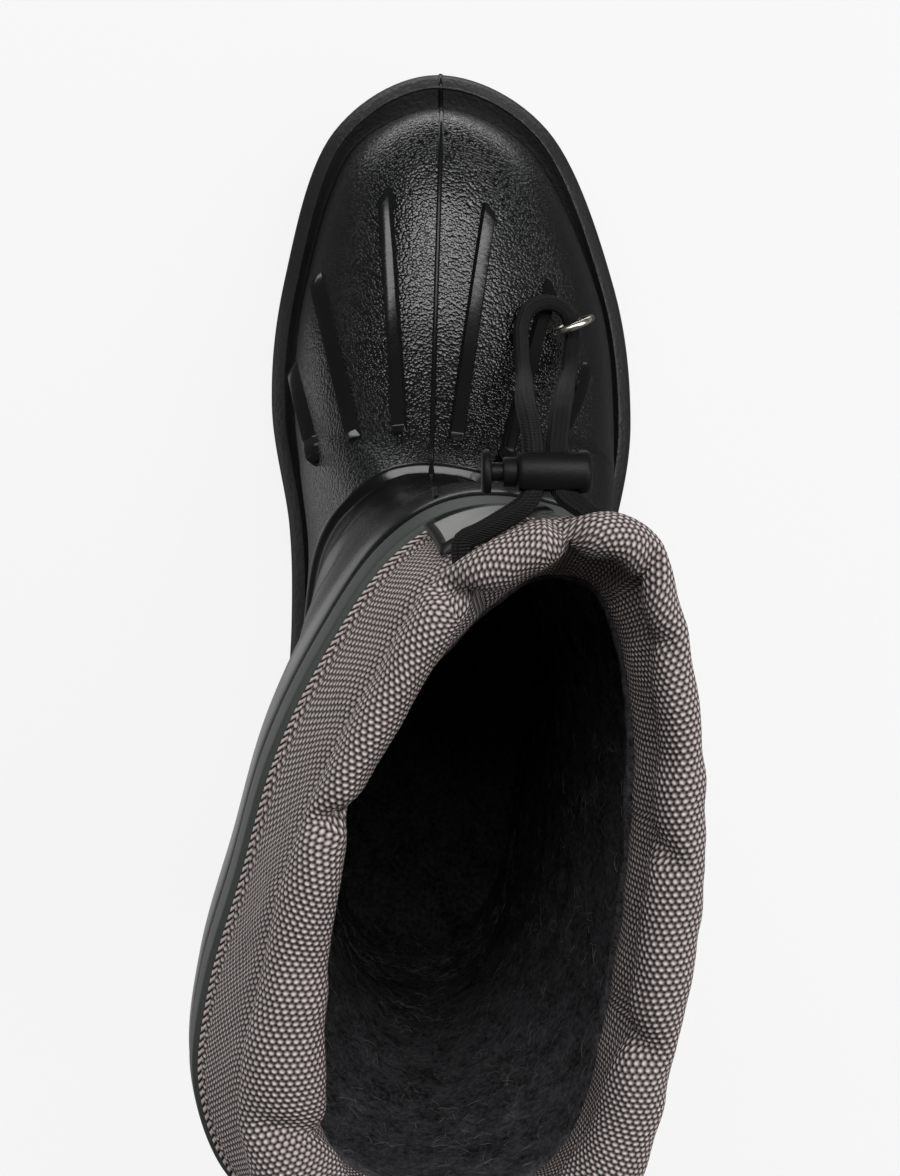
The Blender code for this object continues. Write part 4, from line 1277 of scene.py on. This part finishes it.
def cuff_rows():
    """Smooth outlines of the cuff from its tucked hem over the face and the roll to its inner hem."""
    low, high = cuff_face()
    sections = [raised(inset(RIM, depth), z) for depth, z in HEM]
    sections += [low * 0.6 + high * 0.4, low * 0.15 + high * 0.85]
    sections.append(raised(inset(high[:, :2], GROOVE[0]), SEAM_Z + GROOVE[1]))
    middle, half = (ROLL_OUTER + ROLL_INNER) / 2.0, (ROLL_OUTER - ROLL_INNER) / 2.0
    for angle in ROLL_ANGLES:
        turn = math.radians(angle)
        near = fold_depth(angle)
        spot = middle + half * (math.cos(turn) * (1.0 - near))[:, None]
        top = CUFF_TOP_Z - ROLL_TALL - FOLD_DROP * near
        sections.append(raised(spot, top + ROLL_TALL * (1.0 - near) * math.sin(turn)))
    sections.append(raised(FACING, FACING_Z))
    sections += [raised(inset(RIM, depth), z) for depth, z in HEM_INSIDE]
    rows = open_curve(sections, 5)
    swell = swollen(rows, CUFF_SWELLS) * smooth(rows[..., 2], *SWELL_Z)
    return rows + surface_normals(rows) * swell[..., None]


CUFF_ROWS = cuff_rows()
roll_loop = raised(ROLL_OUTER, 0.0)
roll_run = run_along(np.concatenate((roll_loop, roll_loop[:1]))[None], 1)[0]
# A whole number of yarns goes round, so that the weave meets itself at the back.
roll_run *= round(roll_run[-1] / WEAVE_ROUND) * WEAVE_ROUND / roll_run[-1]
cuff_bm = skin(CUFF_ROWS, round_run=roll_run)
cuff = finish_piece("woven_cuff", cuff_bm, [CLOTH], outwards=False, sharp=180.0)
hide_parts("cuff")
print("cuff", round(roll_run[-1]), "mm round")

# %% Hem edging
EDGING_THICK = 1.5
EDGING_INSET = 1.7
EDGING_Z = 196.6
EDGING_SIDES = 8
EDGING_STEP = 0.8

edging_loop = raised(inset(RIM, EDGING_INSET), EDGING_Z)
edging_line = even_points(np.concatenate((edging_loop, edging_loop[:1])), EDGING_STEP)
edging_radii = np.full(EDGING_SIDES, EDGING_THICK / 2.0)
edging_bm = skin(sweep_rows(edging_line, edging_radii, (0.0, 0.0, 1.0)))
weld(edging_bm, 20.0 * TOUCH)
edging = finish_piece("hem_edging", edging_bm, [EDGING])

# %% [markdown]
# ## Badge
# A small plate of black rubber sewn on the front of the cuff, with a raised frame round a bare grey
# field. A flat block could be bent by a modifier, but the plate has to follow the face of the cuff,
# so its surface is worked out from the face's two edges. Its low edge leans out a little.

# %% Badge
# Columns of the low and of the high edge's ends, counted from the front.
BADGE_LOW = (-7.0, 9.0)
BADGE_HIGH = (-12.0, 2.0)
BADGE_FACE = (0.05, 0.85)
BADGE_STATIONS = 25
BADGE_STEPS = 14
BADGE_THICK = 1.2
BADGE_LEAN = 2.6
BADGE_FRAME = 1.4
# Share of the thickness at the rim, the rim's rounding, and the drop from the frame to the field.
BADGE_RIM = 0.45
BADGE_ROUND = 0.5
BADGE_DROP = 0.35


def at_columns(loop, places):
    """Points of a loop at places between its columns."""
    return np.column_stack([np.interp(places, np.arange(COLUMNS), axis) for axis in loop.T])


def badge_rows():
    """Rows of the badge's front with its rounded rim, and how far each point is from the edge."""
    face = cuff_face()
    out = np.column_stack((outward(ROLL_OUTER), np.zeros(COLUMNS)))
    shares = np.linspace(0.0, 1.0, BADGE_STATIONS)
    rows, away = [], []
    for v in np.linspace(*BADGE_FACE, BADGE_STEPS):
        first, last = np.array((BADGE_LOW, BADGE_HIGH)).T @ (1.0 - v, v)
        places = HALF + first + (last - first) * shares
        low, high = (at_columns(edge, places) for edge in face)
        way = at_columns(out, places)
        away.append(way)
        rows.append(low * (1.0 - v) + high * v + way * BADGE_LEAN * (1.0 - v))
    rows, away = np.array(rows), np.array(away)
    along, up = run_along(rows, 1), run_along(rows, 0)
    edge = np.minimum.reduce((along, along[:, -1:] - along, up, up[-1:] - up))
    lift = GAP + BADGE_THICK * (BADGE_RIM + (1.0 - BADGE_RIM) * smooth(edge, 0.0, BADGE_ROUND))
    lift = lift - BADGE_DROP * smooth(edge, BADGE_FRAME - 0.2, BADGE_FRAME + 0.2)
    return rows + away * lift[..., None], edge


badge_front, badge_edge = badge_rows()
badge_bm = skin(badge_front, closed=False)
badge_bm.faces.ensure_lookup_table()
wide = badge_front.shape[1] - 1
for index, face in enumerate(badge_bm.faces):
    row, column = divmod(index, wide)
    face.material_index = int(badge_edge[row : row + 2, column : column + 2].min() >= BADGE_FRAME - 0.4)
rim_edges = [e for e in badge_bm.edges if e.is_boundary]
grown = bmesh.ops.extrude_edge_only(badge_bm, edges=rim_edges)["geom"]
back_way = -np.append(outward(ROLL_OUTER)[HALF], 0.0) * (BADGE_THICK * BADGE_RIM) * MM
back_verts = [g for g in grown if isinstance(g, bmesh.types.BMVert)]
bmesh.ops.translate(badge_bm, verts=back_verts, vec=back_way)
badge = finish_piece("badge_plate", badge_bm, [FRAME_RUBBER, FIELD], sharp=60.0)
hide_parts("badge")

# %% [markdown]
# ## Lining
# Inside, a thick charcoal felt covers the wall from the cuff down to the insole. It is a skin that
# stands a few millimetres inside the rubber. Loose hairs stand out of it and catch the light.
# A particle system could grow them, but thin bevelled curves go into the export as they are, and
# one seed gives the same hairs each time.

# %% Felt lining
LINING = 3.0
LINING_HEM = (7.0, 188.0)
# Columns: inset from the facing's edge, z.
LINING_TOP = ((-2.0, 196.0), (0.2, 201.0), (1.0, 203.4), (0.6, 204.8), (-1.2, 205.6))
# Columns: amount, size, seed.
LINING_SWELLS = ((0.5, 7.0, 5.0), (0.3, 2.6, 11.0))


def lining_rows():
    """Outlines of the felt from the insole up to the cuff's facing."""
    keep = [k for k in range(4, len(HEIGHTS)) if HEIGHTS[k].max() < 180.0][::3]
    rows = [PLAIN[k] - NORMALS[k] * (WALL + LINING) for k in keep]
    low = rows[0].copy()
    low[:, 2] = np.minimum(low[:, 2], from_curve(low[:, 1], LEDGE_Z) + 2.0)
    rows = [low] + rows
    rows.append(raised(inset(RIM, LINING_HEM[0]), LINING_HEM[1]))
    rows += [raised(inset(FACING, depth), z) for depth, z in LINING_TOP]
    rows = np.array(rows)
    # The two columns beside the heel's seam are laid evenly between their neighbours.
    rows[:, -1] = (2.0 * rows[:, -2] + rows[:, 1]) / 3.0
    rows[:, 0] = (rows[:, -2] + 2.0 * rows[:, 1]) / 3.0
    return rows + surface_normals(rows) * swollen(rows, LINING_SWELLS)[..., None]


LINING_ROWS = lining_rows()
lining_bm = skin(LINING_ROWS)
bmesh.ops.reverse_faces(lining_bm, faces=lining_bm.faces[:])
lining = finish_piece("felt_lining", lining_bm, [FELT], outwards=False, sharp=180.0)
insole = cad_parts["insole"]
insole.data.materials.clear()
insole.data.materials.append(FELT)

# %% Hairs
HAIRS = 6000
HAIR_STEPS = 4
HAIR_STEP = 1.4
HAIR_THICK = 0.075
HAIR_ROOT = 0.2
# How far a hair curls as a whole and wavers at each step, and the ranges of its rise and its steps.
HAIR_CURL = 0.225
HAIR_WAVER = 0.15
HAIR_LIFT = (0.05, 0.5)
HAIR_UNEVEN = (0.6, 1.2)
# Rows of the lining without hairs, at the insole and at the cuff.
BARE_LOW = 2
BARE_HIGH = 5

chance = np.random.default_rng(7)
lining_normals = -surface_normals(LINING_ROWS)
hair_curve = bpy.data.curves.new("lining_hairs", "CURVE")
hair_curve.dimensions = "3D"
hair_curve.bevel_depth = HAIR_THICK / 2.0 * MM
hair_curve.bevel_resolution = 0
for _ in range(HAIRS):
    row = chance.integers(BARE_LOW, len(LINING_ROWS) - BARE_HIGH)
    column = chance.integers(0, COLUMNS)
    spot, up = LINING_ROWS[row, column], lining_normals[row, column]
    way = chance.normal(size=3)
    way -= up * (way @ up)
    way /= np.linalg.norm(way)
    curl = chance.normal(size=3) * HAIR_CURL
    points = [spot - up * HAIR_ROOT]
    lift = chance.uniform(*HAIR_LIFT)
    for step in range(HAIR_STEPS):
        way = way + curl + chance.normal(size=3) * HAIR_WAVER
        way /= np.linalg.norm(way)
        rise = up * lift * math.cos(math.pi * (step + 0.5) / HAIR_STEPS)
        reach = HAIR_STEP * chance.uniform(*HAIR_UNEVEN)
        points.append(points[-1] + (way - up * (way @ up) + rise) * reach)
    spline = hair_curve.splines.new("POLY")
    spline.points.add(len(points) - 1)
    for point, place in zip(spline.points, to_frame(points)):
        point.co = (*place, 1.0)
hair_finish, hair_tree, hair_shader = new_finish("felt_hair", (0.09, 0.09, 0.095), 0.6)
hair_tone = mapped(hair_tree, clouds(hair_tree, 0.004, 1.0), 0.35, 0.65)
paint(hair_tree, hair_shader, hair_tone, (0.06, 0.06, 0.063), (0.34, 0.34, 0.35))
hair_curve.materials.append(hair_finish)
hairs = put_in_scene("lining_hairs", hair_curve)
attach(hairs, "boot")
print(HAIRS, "hairs")

# %% [markdown]
# ## Stage and light
# The boot stands on a pale table that glows, as in a light tent, so that the ground is even. A whole
# bright table would turn the black rubber grey, so it is hidden from reflections, and dim cards on it
# stand in for it there. A round backdrop, seen by the camera alone, closes the horizon. A large soft
# panel beyond the toe gives the vamp and the ankle step their shine, and a smaller one lights the
# outer side. A picture of a studio could light the boot too, but panels are easier to move.

# %% Floor and backdrop
FLOOR_SIZE = 40.0
GLOW = 0.86
BACKDROP_RADIUS = 6.0
BACKDROP_TALL = 6.0
BACKDROP_SIDES = 96

floor_finish, _, floor_shader = new_finish("light_table", (0.06, 0.06, 0.06), 0.9)
floor_shader.inputs["Emission Color"].default_value = (1.0, 1.0, 1.0, 1.0)
floor_shader.inputs["Emission Strength"].default_value = GLOW


def stage_piece(name, bm):
    """Glowing piece of the stage, hidden from reflections."""
    piece = put_in_scene(name, to_mesh(name, bm))
    piece.data.materials.append(floor_finish)
    piece.visible_glossy = False
    return piece


floor_bm = bmesh.new()
bmesh.ops.create_grid(floor_bm, x_segments=1, y_segments=1, size=FLOOR_SIZE / 2.0)
floor = stage_piece("floor", floor_bm)
backdrop_bm = bmesh.new()
bmesh.ops.create_cone(
    backdrop_bm, cap_ends=False, segments=BACKDROP_SIDES, radius1=BACKDROP_RADIUS,
    radius2=BACKDROP_RADIUS, depth=BACKDROP_TALL,
)
bmesh.ops.translate(backdrop_bm, verts=backdrop_bm.verts[:], vec=(0.0, 0.0, BACKDROP_TALL / 2.0))
backdrop = stage_piece("backdrop", backdrop_bm)
backdrop.visible_diffuse = False
backdrop.visible_transmission = False
backdrop.visible_shadow = False
print("floor", FLOOR_SIZE, "m wide, backdrop", BACKDROP_RADIUS, "m away")

# %% Lights
# Columns: name, place and aim in metres, width, depth, watts.
PANELS = (
    ("main_panel", (0.15, 0.87, 1.58), (0.0, 0.0, 0.08), 2.2, 0.9, 33.0),
    ("right_panel", (1.3, 0.0, 1.2), (0.0, 0.0, 0.08), 0.8, 0.8, 9.0),
    ("toe_card", (0.0, 0.17, 0.004), (0.0, 0.17, 1.0), 0.2, 0.06, 0.09),
    ("inner_card", (-0.16, -0.08, 0.004), (-0.16, -0.08, 1.0), 0.2, 0.28, 0.09),
    ("inner_far_card", (-0.5, 0.0, 0.004), (-0.5, 0.0, 1.0), 0.44, 0.5, 0.35),
    ("outer_far_card", (0.44, 0.0, 0.004), (0.44, 0.0, 1.0), 0.44, 0.5, 0.35),
    ("heel_far_card", (0.0, -0.5, 0.004), (0.0, -0.5, 1.0), 0.5, 0.44, 0.35),
)
for name, place, aim, width, depth, watts in PANELS:
    light = bpy.data.lights.new(name, "AREA")
    light.shape = "RECTANGLE"
    light.size, light.size_y = width, depth
    light.energy = watts
    panel = put_in_scene(name, light)
    panel.location = place
    panel.visible_camera = False
    panel.rotation_euler = (Vector(aim) - Vector(place)).to_track_quat("-Z", "Y").to_euler()
ROOM = 0.08
world = bpy.data.worlds.new("studio")
world.use_nodes = True
room_light = world.node_tree.nodes["Background"]
room_light.inputs["Color"].default_value = (1.0, 1.0, 1.0, 1.0)
room_light.inputs["Strength"].default_value = ROOM
scene.world = world
scene.view_settings.view_transform = "Standard"
print(len(PANELS), "panels")
